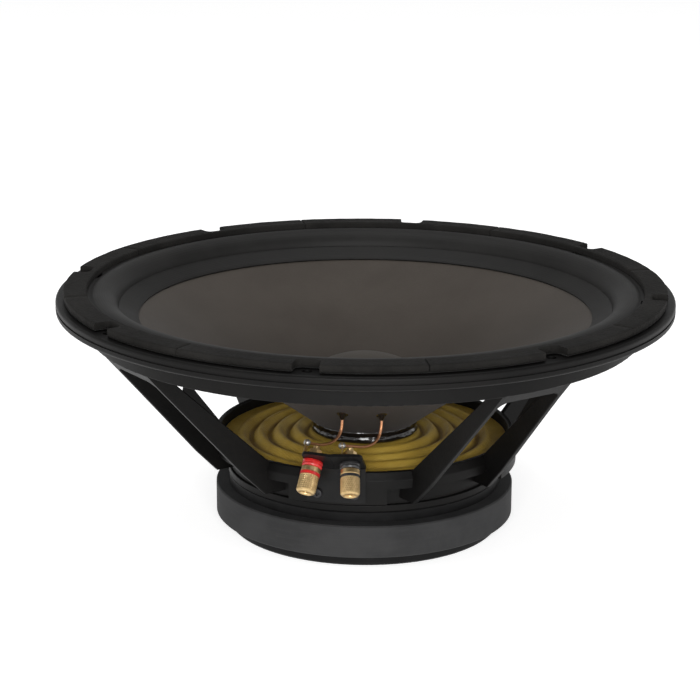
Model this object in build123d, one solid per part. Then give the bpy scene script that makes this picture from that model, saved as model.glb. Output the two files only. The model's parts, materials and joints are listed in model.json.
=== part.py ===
from build123d import *
from math import acos, asin, atan2, cos, degrees, hypot, pi, radians, sin, sqrt, tan
import os

# Fifteen-inch car subwoofer driver, standing on its magnet with the cone facing up.
# Millimetres, +Z up.  The origin is on the driver's axis, on the underside of the back plate.
# Azimuth 0 is at -Y, where the terminals are, and grows towards +X.

# ---------------------------------------------------------------- driving dimensions
# Motor: T-shaped yoke, ring magnet and top plate
MAGNET_RADIUS = 96.0
MAGNET_BORE = 45.0
MAGNET_HEIGHT = 20.6
MAGNET_CHAMFER = 0.8
YOKE_INSET = 8.2
YOKE_PLATE = 8.0
YOKE_CHAMFER = 1.2
VENT_RADIUS = 11.0
VENT_FLARE = 5.0
TOP_PLATE_INSET = 8.5
TOP_PLATE_HEIGHT = 6.4
TOP_PLATE_CHAMFER = 0.7

# Voice coil and its gap
FORMER_RADIUS = 25.35
FORMER_WALL = 0.45
FORMER_TAIL = 2.0
WINDING_WALL = 1.1
WINDING_HEIGHT = 16.0
POLE_CLEARANCE = 0.75
PLATE_CLEARANCE = 1.0
BOND = 0.05

# Basket hub: the cup that is screwed to the top plate and carries the spider
BASE_OVERHANG = 0.5
BASE_PLATE = 4.5
BASE_BORE_CLEARANCE = 11.0
HUB_WALL_INSET = 2.0
HUB_WALL = 3.5
SKIRT_OVERHANG = 10.0
SKIRT_WALL = 3.5
SKIRT_GAP = 3.5
SHELF_HEIGHT = 17.0
SHELF_PLATE = 3.5
RIM_HEIGHT = 7.0
RIM_WALL = 5.2
RIM_CHAMFER_WIDTH = 2.5
RIM_CHAMFER_HEIGHT = 5.0
NOTCH_BESIDE_LEG = 19.0
CASTING_EDGE = 0.7

# Basket flange and the wall under it
BASKET_DEPTH = 105.0
FLANGE_RADIUS = 196.0
FLANGE_PLATE = 8.4
FLANGE_EDGE_FILLET = 1.8
FLANGE_GROOVE = 0.8
FLANGE_GROOVE_BOTTOM = 3.6
FLANGE_GROOVE_WIDTH = 1.4
FLANGE_OVERHANG = 20.0
WALL_HEIGHT = 14.5
WALL_THICKNESS = 4.0
SCREW_HOLES = 8
SCREW_HOLE_INSET = 10.0
SCREW_HOLE_RADIUS = 3.0

# Twin legs: pairs of slanted plates, joined at the top by a web
LEG_PAIRS = 4
FIRST_PAIR_AZIMUTH = 45.0
LEG_THICKNESS = 3.6
LEG_HALF_SPACING = 25.2
LEG_SPLAY = 3.3
LEG_DEPTH_AT_WALL = 10.9
LEG_KNEE_REACH = 12.0
LEG_KNEE_HEIGHT = 18.5
LEG_KNEE_FILLET = 24.0
LEG_TOE_INSET = 3.0
LEG_TAB_DROP = 14.0
LEG_TAB_LENGTH = 22.0
LEG_TAB_RISE = 6.5
LEG_TAB_THICKNESS = 2.0
LEG_TAB_OVERLAP = 1.5
WEB_DROP = 5.5
WEB_THICKNESS = 3.5
WEB_FILLET = 7.0
WEB_OVERLAP = 1.0

# Moving cone, dust cap, surround, gasket and spider
CONE_THICKNESS = 1.4
CONE_NECK_WIDTH = 5.2
CONE_NECK_RISE = 6.7
CONE_TURN = 12.0
CONE_LAND = 13.0
CONE_EDGE_DROP = 14.9
DUST_CAP_RADIUS = 52.0
DUST_CAP_RISE = 27.0
DUST_CAP_THICKNESS = 1.0
SURROUND_THICKNESS = 1.3
SURROUND_ROLL_WIDTH = 16.0
SURROUND_ROLL_RISE = 1.4
SURROUND_FOOT_INSET = 2.0
SURROUND_FOOT_SPREAD = 1.2
SURROUND_LIP_INSET = 5.5
GASKET_GAP = 0.3
GASKET_INSET = 5.0
GASKET_HEIGHT = 4.2
GASKET_SEAM = 0.5
GASKET_SEAM_SHIFTS = (-1.6, -1.4, 0.0, 3.0, 1.6, 2.7, 0.0, -1.9)
GASKET_NOTCH = 15.0
GASKET_NOTCH_REACH = 5.0
GASKET_NOTCH_FILLET = 4.0
SPIDER_THICKNESS = 0.8
SPIDER_EDGE_GAP = 1.0
SPIDER_LANDING = 10.0
SPIDER_COLLAR = 8.8
SPIDER_WAVES = 4
SPIDER_WAVE_HEIGHT = 2.4
SPIDER_RISE = 4.1
BEAD_WIDTH = 9.6
BEAD_LOWER_HEIGHT = 1.8
BEAD_FOOT_CHAMFER = 1.5
BEAD_TOP_CHAMFER = 1.2
BEAD_SHOULDER = 2.0

# Screws that hold the basket to the top plate
BASKET_SCREWS = 8
BASKET_SCREW_CIRCLE = 62.0
BASKET_SCREW_RADIUS = 2.5
BASKET_SCREW_HEAD_RADIUS = 4.6
BASKET_SCREW_HEAD = 3.0
BASKET_SCREW_REACH = 5.0
DRIVE_WIDTH = 1.2
DRIVE_DEPTH = 1.2
DRIVE_LENGTH_SHARE = 0.6
HEAD_ROUND_SHARE = 0.45

# Terminal bracket: a strip on the hub's skirt and a folded tab that leans outwards
BRACKET_HALF_WIDTH = 18.2
BRACKET_THICKNESS = 1.8
BRACKET_START = 5.5
TAB_ABOVE_POST = 12.0
TAB_CORNER = 5.0
BRACKET_SCREW_AZIMUTH = 6.5
BRACKET_SCREW_HEIGHT = 11.0
BRACKET_SCREW_RADIUS = 1.5
BRACKET_SCREW_HEAD_RADIUS = 3.0
BRACKET_SCREW_HEAD = 1.8
BRACKET_SCREW_REACH = 4.4

# Binding posts: lengths run outwards from the tab's face, along the post
POST_SPREAD = {"red": 12.4, "black": 10.2}
POST_OVERHANG = 9.0
POST_RISE = 16.5
POST_DIP = 52.0
POST_FAN = 10.8
POST_SIDES = {"red": -1, "black": 1}
COLLAR_RADIUS = 6.2
COLLAR_HEIGHT = 4.2
COLLAR_SPIGOT_RADIUS = 3.4
WASHER_RADIUS = 5.4
WASHER_HEIGHT = 1.5
STUD_RADIUS = 2.0
STUD_TAIL = 9.5
SOCKET_RADIUS = 3.0
SOCKET_RECESS = 1.1
SOCKET_BORE = 2.0
SOCKET_BORE_DEPTH = 12.0
WIRE_HOLE_RADIUS = 1.1
CLAMP_RING_RADIUS = 5.9
CLAMP_RING_HEIGHT = 3.2
CLAMP_RING_CHAMFER = 0.3
BAND_HEIGHT = 1.7
BAND_RADIUS = {"red": 6.05, "black": 5.6}
CAP_RADIUS = 5.9
CAP_LENGTH = 12.9
CAP_CHAMFER = 1.0
CAP_NECK_RADIUS = 4.3
RUNNING_CLEARANCE = 0.06
BODY_GAP = 0.15
LUG_THICKNESS = 0.8
LUG_RADIUS = 3.9
LUG_WIDTH = 4.2
LUG_HEIGHT = 9.5
LUG_SIDE = {"red": 6.8, "black": 4.8}
NUT_HEIGHT = 3.0
NUT_ACROSS_FLATS = 7.0
SOLDER_RADIUS = 2.3
SOLDER_DROP = 1.38

# Tinsel leads: points chosen by hand from each solder joint to the eyelet on the cone
LEAD_DIAMETER = 1.8
LEAD_POINTS = {
    "red": [(-14.2, -87.5, 77.0), (-9.4, -77.0, 74.2), (-4.9, -68.5, 75.4), (-3.0, -62.6, 80.2)],
    "black": [(9.8, -88.0, 77.6), (14.2, -76.5, 73.8), (18.6, -66.0, 73.6), (21.0, -58.6, 78.6)],
}
EYELET_RADIUS = 2.6
EYELET_DROP = 1.6
BEND_SHARE = 0.45

# Cutting tools stand proud of what they cut by this length, or by this share of a radius
PROUD = 1.0
PROUD_SHARE = 1.2

# ---------------------------------------------------------------- levels and radii that follow
YOKE_RADIUS = MAGNET_RADIUS - YOKE_INSET
TOP_PLATE_RADIUS = MAGNET_RADIUS - TOP_PLATE_INSET
POLE_RADIUS = FORMER_RADIUS - POLE_CLEARANCE
NECK_BORE = FORMER_RADIUS + FORMER_WALL + BOND
WINDING_RADIUS = NECK_BORE + WINDING_WALL
TOP_PLATE_BORE = WINDING_RADIUS + PLATE_CLEARANCE
BASE_BORE = WINDING_RADIUS + BASE_BORE_CLEARANCE
BASE_RADIUS = TOP_PLATE_RADIUS + BASE_OVERHANG
HUB_WALL_RADIUS = BASE_RADIUS - HUB_WALL_INSET
HUB_BORE = HUB_WALL_RADIUS - HUB_WALL
SKIRT_RADIUS = BASE_RADIUS + SKIRT_OVERHANG
RIM_BORE = SKIRT_RADIUS - RIM_WALL
WALL_RADIUS = FLANGE_RADIUS - FLANGE_OVERHANG
WALL_BORE = WALL_RADIUS - WALL_THICKNESS
SCREW_CIRCLE_RADIUS = FLANGE_RADIUS - SCREW_HOLE_INSET

MAGNET_TOP = YOKE_PLATE + MAGNET_HEIGHT
MOTOR_TOP = MAGNET_TOP + TOP_PLATE_HEIGHT
BASE_TOP = MOTOR_TOP + BASE_PLATE
SKIRT_BOTTOM = BASE_TOP + SKIRT_GAP
SHELF_TOP = BASE_TOP + SHELF_HEIGHT
RIM_TOP = SHELF_TOP + RIM_HEIGHT
FLANGE_BOTTOM = BASE_TOP + BASKET_DEPTH
FLANGE_TOP = FLANGE_BOTTOM + FLANGE_PLATE
WALL_BOTTOM = FLANGE_BOTTOM - WALL_HEIGHT
LIP_TOP = FLANGE_TOP + SURROUND_THICKNESS
SPIDER_TOP = SHELF_TOP + SPIDER_RISE
WINDING_BOTTOM = MOTOR_TOP - (TOP_PLATE_HEIGHT + WINDING_HEIGHT) / 2

PATTERN_STEP = 360 / SCREW_HOLES
POST_RADIUS_AT_TAB = SKIRT_RADIUS + POST_OVERHANG
POST_HEIGHT_AT_TAB = SHELF_TOP + POST_RISE


# ---------------------------------------------------------------- shared shapes
def section(points):
    """A closed outline in the radius-height plane, from (radius, height) pairs."""
    return make_face(Polyline(*[(r, 0, z) for r, z in points], close=True))


def turned(points):
    """A body of revolution about the driver's axis."""
    return revolve(section(points), Axis.Z)


def ring(inner, outer, bottom, top):
    return turned([(inner, bottom), (outer, bottom), (outer, top), (inner, top)])


def drum(radius, bottom, top):
    """A plain cylinder on the local Z axis."""
    return Pos(0, 0, (bottom + top) / 2) * Cylinder(radius, top - bottom)


def tube(inner, outer, bottom, top):
    return drum(outer, bottom, top) - drum(inner, bottom, top)


def at_azimuth(shape, azimuth):
    """Turns a shape drawn at azimuth 0, on -Y, round to its place."""
    return Rot(0, 0, azimuth) * shape


def standing_plate(outline, thickness, knee=None, knee_radius=0):
    """A plate in the plane of azimuth 0, centred on it; outline is (radius, height) pairs."""
    face = make_face(Polyline(*outline, close=True))
    if knee:
        face = fillet(face.vertices().sort_by_distance(knee)[0], knee_radius)
    upright = Plane((0, 0, 0), x_dir=(0, -1, 0), z_dir=(-1, 0, 0))
    return upright.location * extrude(face, thickness / 2, both=True)


def wedge(half_angle, radius, bottom, top):
    """A sector centred on azimuth 0, for cutting out of rings."""
    corner = (radius * sin(radians(half_angle)), -radius * cos(radians(half_angle)))
    mirrored = (-corner[0], corner[1])
    outline = Line((0, 0), corner) + ThreePointArc(corner, (0, -radius), mirrored) + Line(mirrored, (0, 0))
    return extrude(Pos(0, 0, bottom) * make_face(outline), top - bottom)


def pan_screw(radius, reach, head_radius, head):
    """A pan-head screw that points down, with the underside of its head at height 0."""
    body = drum(radius, -reach, 0) + drum(head_radius, 0, head)
    top_edge = body.edges().group_by(Axis.Z)[-1]
    body = fillet(top_edge, head * HEAD_ROUND_SHARE)
    length = 2 * head_radius * DRIVE_LENGTH_SHARE
    for turn in (0, 90):
        slot = Pos(0, 0, head) * Rot(0, 0, turn) * Box(length, DRIVE_WIDTH, 2 * DRIVE_DEPTH)
        body = body - slot
    return body


# ---------------------------------------------------------------- line of the cone
NECK_POINT = (NECK_BORE + CONE_NECK_WIDTH, SPIDER_TOP + CONE_NECK_RISE)
ROLL_OUTER_RADIUS = WALL_RADIUS - SURROUND_FOOT_INSET
EDGE_POINT = (ROLL_OUTER_RADIUS - SURROUND_ROLL_WIDTH - CONE_LAND, FLANGE_TOP - CONE_EDGE_DROP)
CHORD = (EDGE_POINT[0] - NECK_POINT[0], EDGE_POINT[1] - NECK_POINT[1])
CHORD_LEAN = atan2(CHORD[1], CHORD[0])
CONE_BEND = hypot(*CHORD) / 2 / sin(radians(CONE_TURN) / 2)
NECK_LEAN = CHORD_LEAN + radians(CONE_TURN) / 2
EDGE_LEAN = CHORD_LEAN - radians(CONE_TURN) / 2
BEND_CENTRE = (
    NECK_POINT[0] + CONE_BEND * sin(NECK_LEAN),
    NECK_POINT[1] - CONE_BEND * cos(NECK_LEAN),
)


def on_cone(lean, offset):
    """The point where the cone leans by lean, moved offset to the listener's side of its middle."""
    reach = CONE_BEND + offset
    return BEND_CENTRE[0] - reach * sin(lean), BEND_CENTRE[1] + reach * cos(lean)


def on_land(length, offset):
    """A point on the cone's straight outer land, length past its curved part."""
    r, z = on_cone(EDGE_LEAN, offset)
    return r + length * cos(EDGE_LEAN), z + length * sin(EDGE_LEAN)


def cone_height(radius, offset):
    reach = CONE_BEND + offset
    return BEND_CENTRE[1] + sqrt(reach**2 - (BEND_CENTRE[0] - radius) ** 2)


def cone_arc(offset):
    lean = (NECK_LEAN + EDGE_LEAN) / 2
    points = [on_cone(NECK_LEAN, offset), on_cone(lean, offset), on_cone(EDGE_LEAN, offset)]
    return ThreePointArc(*[(r, 0, z) for r, z in points])


def cone_body(back, front):
    """The cone between two offsets from its middle surface, without its neck cuff."""
    land = CONE_LAND / cos(EDGE_LEAN)
    outline = cone_arc(front)
    for start, end in (
        (on_cone(EDGE_LEAN, front), on_land(land, front)),
        (on_land(land, front), on_land(land, back)),
        (on_land(land, back), on_cone(EDGE_LEAN, back)),
        (on_cone(NECK_LEAN, back), on_cone(NECK_LEAN, front)),
    ):
        outline += Line((start[0], 0, start[1]), (end[0], 0, end[1]))
    return revolve(make_face(outline + cone_arc(back)), Axis.Z)


# ---------------------------------------------------------------- motor
def t_yoke():
    """Back plate and pole piece, forged in one, with a vent through the pole."""
    outline = [
        (VENT_RADIUS + VENT_FLARE, 0),
        (YOKE_RADIUS - YOKE_CHAMFER, 0),
        (YOKE_RADIUS, YOKE_CHAMFER),
        (YOKE_RADIUS, YOKE_PLATE),
        (POLE_RADIUS, YOKE_PLATE),
        (POLE_RADIUS, MOTOR_TOP),
        (VENT_RADIUS, MOTOR_TOP),
        (VENT_RADIUS, VENT_FLARE),
    ]
    return turned(outline)


def magnet():
    c = MAGNET_CHAMFER
    outline = [
        (MAGNET_BORE, YOKE_PLATE),
        (MAGNET_RADIUS - c, YOKE_PLATE),
        (MAGNET_RADIUS, YOKE_PLATE + c),
        (MAGNET_RADIUS, MAGNET_TOP - c),
        (MAGNET_RADIUS - c, MAGNET_TOP),
        (MAGNET_BORE, MAGNET_TOP),
    ]
    return turned(outline)


def top_plate():
    c = TOP_PLATE_CHAMFER
    outline = [
        (TOP_PLATE_BORE, MAGNET_TOP),
        (TOP_PLATE_RADIUS, MAGNET_TOP),
        (TOP_PLATE_RADIUS, MOTOR_TOP - c),
        (TOP_PLATE_RADIUS - c, MOTOR_TOP),
        (TOP_PLATE_BORE, MOTOR_TOP),
    ]
    return turned(outline) - basket_screw_holes()


def basket_screw_places():
    return [at_azimuth(Pos(0, -BASKET_SCREW_CIRCLE, BASE_TOP), (k + 0.5) * 360 / BASKET_SCREWS)
            for k in range(BASKET_SCREWS)]


def basket_screw_holes():
    deepest = BASE_PLATE + BASKET_SCREW_REACH + BOND
    hole = drum(BASKET_SCREW_RADIUS + BOND, -deepest, BASE_PLATE)
    return [place * hole for place in basket_screw_places()]


def basket_screws():
    screw = pan_screw(BASKET_SCREW_RADIUS, BASE_PLATE + BASKET_SCREW_REACH,
                      BASKET_SCREW_HEAD_RADIUS, BASKET_SCREW_HEAD)
    return Compound([place * screw for place in basket_screw_places()])


# ---------------------------------------------------------------- basket
def hub():
    cup = turned([
        (BASE_BORE, MOTOR_TOP), (BASE_RADIUS, MOTOR_TOP), (BASE_RADIUS, BASE_TOP),
        (HUB_WALL_RADIUS, BASE_TOP), (HUB_WALL_RADIUS, SHELF_TOP - SHELF_PLATE),
        (SKIRT_RADIUS - SKIRT_WALL, SHELF_TOP - SHELF_PLATE), (SKIRT_RADIUS - SKIRT_WALL, SKIRT_BOTTOM),
        (SKIRT_RADIUS, SKIRT_BOTTOM), (SKIRT_RADIUS, RIM_TOP - RIM_CHAMFER_HEIGHT),
        (SKIRT_RADIUS - RIM_CHAMFER_WIDTH, RIM_TOP), (RIM_BORE, RIM_TOP), (RIM_BORE, SHELF_TOP),
        (HUB_BORE, SHELF_TOP), (HUB_BORE, BASE_TOP), (BASE_BORE, BASE_TOP),
    ])
    cup = fillet(cup.edges().filter_by(GeomType.CIRCLE), CASTING_EDGE)
    half_angle = degrees(asin((LEG_HALF_SPACING + NOTCH_BESIDE_LEG) / SKIRT_RADIUS))
    notch_top = SHELF_TOP - SHELF_PLATE
    notch = wedge(half_angle, PROUD_SHARE * SKIRT_RADIUS, SKIRT_BOTTOM - PROUD, notch_top)
    notch = notch - drum(HUB_WALL_RADIUS, 0, notch_top)
    return cup - [at_azimuth(notch, azimuth) for azimuth in pair_azimuths()]


def flange():
    rim = ring(WALL_BORE, FLANGE_RADIUS, FLANGE_BOTTOM, FLANGE_TOP)
    outside = rim.edges().filter_by(GeomType.CIRCLE).group_by(SortBy.RADIUS)[-1]
    rim = fillet(outside, FLANGE_EDGE_FILLET)
    low = FLANGE_BOTTOM + FLANGE_GROOVE_BOTTOM
    high = low + FLANGE_GROOVE_WIDTH
    rim = rim - ring(FLANGE_RADIUS - FLANGE_GROOVE, FLANGE_RADIUS + PROUD, low, high)
    hole = drum(SCREW_HOLE_RADIUS, FLANGE_BOTTOM - PROUD, FLANGE_TOP + PROUD)
    hole = Pos(0, -SCREW_CIRCLE_RADIUS, 0) * hole
    rim = rim - [at_azimuth(hole, k * PATTERN_STEP) for k in range(SCREW_HOLES)]
    wall = ring(WALL_BORE, WALL_RADIUS, WALL_BOTTOM, FLANGE_BOTTOM)
    return rim + fillet(wall.edges().filter_by(GeomType.CIRCLE).group_by(Axis.Z)[0], CASTING_EDGE)


def pair_azimuths():
    return [FIRST_PAIR_AZIMUTH + k * 360 / LEG_PAIRS for k in range(LEG_PAIRS)]


def chord_reach(radius):
    """How far out a leg's outer face meets a circle of this radius."""
    return sqrt(radius**2 - (LEG_HALF_SPACING + LEG_THICKNESS / 2) ** 2)


def leg_outline():
    """Outer edge from the wall to knee and toe, then the heel in the hub and the inner edge."""
    outer_top = chord_reach(WALL_RADIUS)
    inner_top = outer_top - LEG_DEPTH_AT_WALL
    return [
        (outer_top, FLANGE_BOTTOM + FLANGE_PLATE / 4),
        (outer_top, WALL_BOTTOM),
        (SKIRT_RADIUS + LEG_KNEE_REACH, BASE_TOP + LEG_KNEE_HEIGHT),
        (SKIRT_RADIUS - LEG_TOE_INSET, SKIRT_BOTTOM),
        (chord_reach(HUB_WALL_RADIUS - HUB_WALL / 2), SKIRT_BOTTOM),
        (chord_reach(HUB_WALL_RADIUS - HUB_WALL / 2), SHELF_TOP - SHELF_PLATE / 2),
        (chord_reach(SKIRT_RADIUS - RIM_CHAMFER_WIDTH), SHELF_TOP - SHELF_PLATE / 2),
        (chord_reach(SKIRT_RADIUS - RIM_CHAMFER_WIDTH), RIM_TOP),
        (inner_top, WALL_BOTTOM),
        (chord_reach(WALL_BORE + LEG_THICKNESS / 2), WALL_BOTTOM + LEG_DEPTH_AT_WALL),
        (chord_reach(WALL_BORE + LEG_THICKNESS / 2), FLANGE_BOTTOM + FLANGE_PLATE / 4),
    ]


def leg_plate():
    knee = (SKIRT_RADIUS + LEG_KNEE_REACH, BASE_TOP + LEG_KNEE_HEIGHT, 0)
    plate = standing_plate(leg_outline(), LEG_THICKNESS, knee, LEG_KNEE_FILLET)
    return fillet(plate.edges().filter_by(Axis.X, reverse=True), CASTING_EDGE)


def leg_tab():
    """A small gusset that stands on the inner edge of each pair's leg on the far side."""
    inner_top = chord_reach(WALL_RADIUS) - LEG_DEPTH_AT_WALL
    inner_foot = chord_reach(SKIRT_RADIUS - RIM_CHAMFER_WIDTH)
    lean = (inner_top - inner_foot) / (WALL_BOTTOM - RIM_TOP)
    top = WALL_BOTTOM - LEG_TAB_DROP
    foot = top - LEG_TAB_LENGTH
    top_radius = inner_top - lean * LEG_TAB_DROP
    foot_radius = top_radius - lean * LEG_TAB_LENGTH
    outline = [
        (top_radius + LEG_TAB_OVERLAP, top),
        (top_radius, top + LEG_TAB_RISE),
        (top_radius - LEG_TAB_THICKNESS, top + LEG_TAB_RISE),
        (foot_radius, foot),
        (foot_radius + LEG_TAB_OVERLAP, foot),
    ]
    return standing_plate(outline, LEG_TAB_THICKNESS)


def web():
    """The slanted panel that closes the top of the gap between twin legs, following their outer edges."""
    outer_top = chord_reach(WALL_RADIUS)
    lean = (outer_top - SKIRT_RADIUS - LEG_KNEE_REACH) / (WALL_BOTTOM - BASE_TOP - LEG_KNEE_HEIGHT)
    drop = WEB_DROP + WEB_FILLET
    depth = WEB_THICKNESS
    outline = [
        (outer_top, FLANGE_BOTTOM),
        (outer_top, WALL_BOTTOM),
        (outer_top - lean * drop, WALL_BOTTOM - drop),
        (outer_top - lean * drop - depth, WALL_BOTTOM - drop),
        (outer_top - depth, WALL_BOTTOM + WEB_OVERLAP),
        (outer_top - depth, FLANGE_BOTTOM),
    ]
    panel = standing_plate(outline, 2 * LEG_HALF_SPACING)
    arch = RectangleRounded(2 * LEG_HALF_SPACING - LEG_THICKNESS, 2 * WALL_HEIGHT, WEB_FILLET)
    opening = extrude(Pos(0, -WALL_HEIGHT, 0) * arch, SKIRT_RADIUS, both=True)
    return panel - Pos(0, -outer_top, WALL_BOTTOM - WEB_DROP) * Rot(90, 0, 0) * opening


def leg_pair():
    mid_height = (WALL_BOTTOM + RIM_TOP) / 2
    pair = [web()]
    for side in (-1, 1):
        splay = Rot(0, side * -LEG_SPLAY, 0)
        stand = Pos(side * LEG_HALF_SPACING, 0, mid_height) * splay * Pos(0, 0, -mid_height)
        pair.append(stand * leg_plate())
        if side > 0:
            pair.append(stand * leg_tab())
    return pair


def basket():
    frame = hub() + flange()
    for azimuth in pair_azimuths():
        frame = frame + [at_azimuth(piece, azimuth) for piece in leg_pair()]
    return frame - basket_screw_holes() - bracket_screw_holes()


# ---------------------------------------------------------------- moving assembly
def former():
    return ring(FORMER_RADIUS, FORMER_RADIUS + FORMER_WALL, WINDING_BOTTOM - FORMER_TAIL, NECK_POINT[1])


def winding():
    return ring(NECK_BORE, WINDING_RADIUS, WINDING_BOTTOM, WINDING_BOTTOM + WINDING_HEIGHT)


def cone():
    half = CONE_THICKNESS / 2
    neck_back = on_cone(NECK_LEAN, -half)
    neck_front = on_cone(NECK_LEAN, half)
    rise = tan(NECK_LEAN)
    cuff = turned([
        (NECK_BORE, neck_back[1] - (neck_back[0] - NECK_BORE) * rise), neck_back, neck_front,
        (NECK_BORE, neck_front[1] - (neck_front[0] - NECK_BORE) * rise),
    ])
    return cone_body(-half, half) + cuff


def dust_cap():
    """A domed cap whose edge sits on the face of the cone."""
    seat = cone_height(DUST_CAP_RADIUS, CONE_THICKNESS / 2) + BOND
    dome = (DUST_CAP_RADIUS**2 + DUST_CAP_RISE**2) / (2 * DUST_CAP_RISE)
    centre = seat + DUST_CAP_RISE - dome
    inner = dome - DUST_CAP_THICKNESS
    edge = asin(DUST_CAP_RADIUS / dome)
    inner_edge = acos((seat - centre) / inner)

    def arc(radius, end):
        points = [(radius * sin(end * t), 0, centre + radius * cos(end * t)) for t in (1, 0.5, 0)]
        return ThreePointArc(*points), points[0], points[-1]

    outside, outside_edge, outside_top = arc(dome, edge)
    inside, inside_edge, inside_top = arc(inner, inner_edge)
    outline = outside + Line(outside_top, inside_top) + inside + Line(inside_edge, outside_edge)
    return revolve(make_face(outline), Axis.Z)


def neck_bead():
    """Fillet of black adhesive between spider, former and the back of the cone."""
    back = -CONE_THICKNESS / 2 - BOND
    floor = SPIDER_TOP + SPIDER_THICKNESS / 2 + BOND
    outer = NECK_BORE + BEAD_WIDTH
    top = outer - BEAD_TOP_CHAMFER
    shoulder = NECK_POINT[0] + BEAD_SHOULDER
    neck = on_cone(NECK_LEAN, back)
    rise = tan(NECK_LEAN)
    return turned([
        (NECK_BORE, floor), (outer - BEAD_FOOT_CHAMFER, floor), (outer, floor + BEAD_LOWER_HEIGHT),
        (outer, cone_height(outer, back) - BEAD_LOWER_HEIGHT), (top, cone_height(top, back) - BOND),
        (shoulder, cone_height(shoulder, back) - BOND), (neck[0], neck[1] - BOND),
        (NECK_BORE, neck[1] - (neck[0] - NECK_BORE) * rise - BOND),
    ])


def spider():
    """Corrugated cloth disc: landing on the shelf, half-round waves, then the collar on the former."""
    edge = RIM_BORE - SPIDER_EDGE_GAP
    outer = RIM_BORE - SPIDER_EDGE_GAP - SPIDER_LANDING
    inner = NECK_BORE + SPIDER_COLLAR
    landing = SHELF_TOP + SPIDER_THICKNESS / 2
    steps = 2 * SPIDER_WAVES

    def wave(shift):
        """Middle line moved by shift: collar, waves from the collar outwards, landing."""
        knots = [(inner + (outer - inner) * k / steps, SPIDER_TOP + (landing - SPIDER_TOP) * k / steps)
                 for k in range(steps + 1)]
        runs = Line((NECK_BORE, 0, SPIDER_TOP + shift), (inner, 0, SPIDER_TOP + shift))
        for k, (start, end) in enumerate(zip(knots, knots[1:])):
            lift = SPIDER_WAVE_HEIGHT * (-1 if k % 2 == 0 else 1)
            middle = ((start[0] + end[0]) / 2, 0, (start[1] + end[1]) / 2 + lift + shift)
            runs += ThreePointArc((start[0], 0, start[1] + shift), middle, (end[0], 0, end[1] + shift))
        return runs + Line((outer, 0, landing + shift), (edge, 0, landing + shift))

    half = SPIDER_THICKNESS / 2
    ends = [Line((r, 0, z - half), (r, 0, z + half)) for r, z in ((NECK_BORE, SPIDER_TOP), (edge, landing))]
    return revolve(make_face(wave(half) + wave(-half) + ends), Axis.Z)


def surround():
    """Half-roll of rubber between the cone's land and the flange, with a flat outer lip."""
    half = CONE_THICKNESS / 2
    land = CONE_LAND / cos(EDGE_LEAN)
    inner_low, inner_high = on_cone(EDGE_LEAN, half + BOND), on_cone(EDGE_LEAN, half + SURROUND_THICKNESS)
    foot_low, foot_high = on_land(land, half + BOND), on_land(land, half + SURROUND_THICKNESS)
    outer_low = (ROLL_OUTER_RADIUS - SURROUND_FOOT_SPREAD, FLANGE_TOP)
    outer_high = (ROLL_OUTER_RADIUS, LIP_TOP)
    crest = SURROUND_ROLL_RISE + LIP_TOP
    middle = (foot_high[0] + outer_high[0]) / 2
    edge = FLANGE_RADIUS - SURROUND_LIP_INSET

    def run(start, end):
        return Line((start[0], 0, start[1]), (end[0], 0, end[1]))

    def roll(start, end, height):
        return ThreePointArc((start[0], 0, start[1]), (middle, 0, height), (end[0], 0, end[1]))

    outline = run(inner_low, inner_high) + run(inner_high, foot_high) + roll(foot_high, outer_high, crest)
    outline += run(outer_high, (edge, LIP_TOP)) + run((edge, LIP_TOP), (edge, FLANGE_TOP))
    outline += run((edge, FLANGE_TOP), outer_low) + roll(outer_low, foot_low, crest - SURROUND_THICKNESS)
    outline += run(foot_low, inner_low)
    body = revolve(make_face(outline), Axis.Z)
    return body - [at_azimuth(gasket_notch(), k * PATTERN_STEP) for k in range(SCREW_HOLES)]


# ---------------------------------------------------------------- gasket
def gasket_notch():
    """The bay round one flange screw, open to the outside."""
    reach = FLANGE_RADIUS - SCREW_CIRCLE_RADIUS + GASKET_NOTCH_REACH
    bay = RectangleRounded(GASKET_NOTCH, 2 * reach, GASKET_NOTCH_FILLET)
    height = GASKET_HEIGHT + SURROUND_THICKNESS + 2 * PROUD
    return extrude(Pos(0, -FLANGE_RADIUS, FLANGE_TOP - PROUD) * bay, height)


def seam_azimuth(k):
    """The seam after the k-th screw; the arcs are cut by hand, so they differ a little."""
    return (k + 0.5) * PATTERN_STEP + GASKET_SEAM_SHIFTS[k]


def gasket_segment(k):
    """The arc of foam round one screw, from seam to seam, with the screw's bay in it."""
    top = LIP_TOP + GASKET_HEIGHT
    band = ring(WALL_RADIUS + GASKET_GAP, FLANGE_RADIUS - GASKET_INSET, LIP_TOP, top)
    start, end = seam_azimuth(k - 1), seam_azimuth(k)
    half_angle = (end - start) / 2 - degrees(GASKET_SEAM / 2 / FLANGE_RADIUS)
    sector = wedge(half_angle, PROUD_SHARE * FLANGE_RADIUS, LIP_TOP - PROUD, top + PROUD)
    return (band & at_azimuth(sector, (start + end) / 2)) - at_azimuth(gasket_notch(), k * PATTERN_STEP)


def gasket_segments():
    return {f"gasket_segment_{k + 1}": gasket_segment(k) for k in range(SCREW_HOLES)}


# ---------------------------------------------------------------- terminal bracket
def post_plane(colour):
    """Local frame of one post: Z runs out along it, Y runs up the tab, origin on the tab's face."""
    side = POST_SIDES[colour]
    fan = radians(side * POST_FAN)
    dip = radians(POST_DIP)
    out = Vector(sin(fan) * cos(dip), -cos(fan) * cos(dip), -sin(dip))
    across = Vector(cos(fan), sin(fan), 0)
    origin = (side * POST_SPREAD[colour], -POST_RADIUS_AT_TAB, POST_HEIGHT_AT_TAB)
    return Plane(origin, x_dir=across, z_dir=out)


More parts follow.
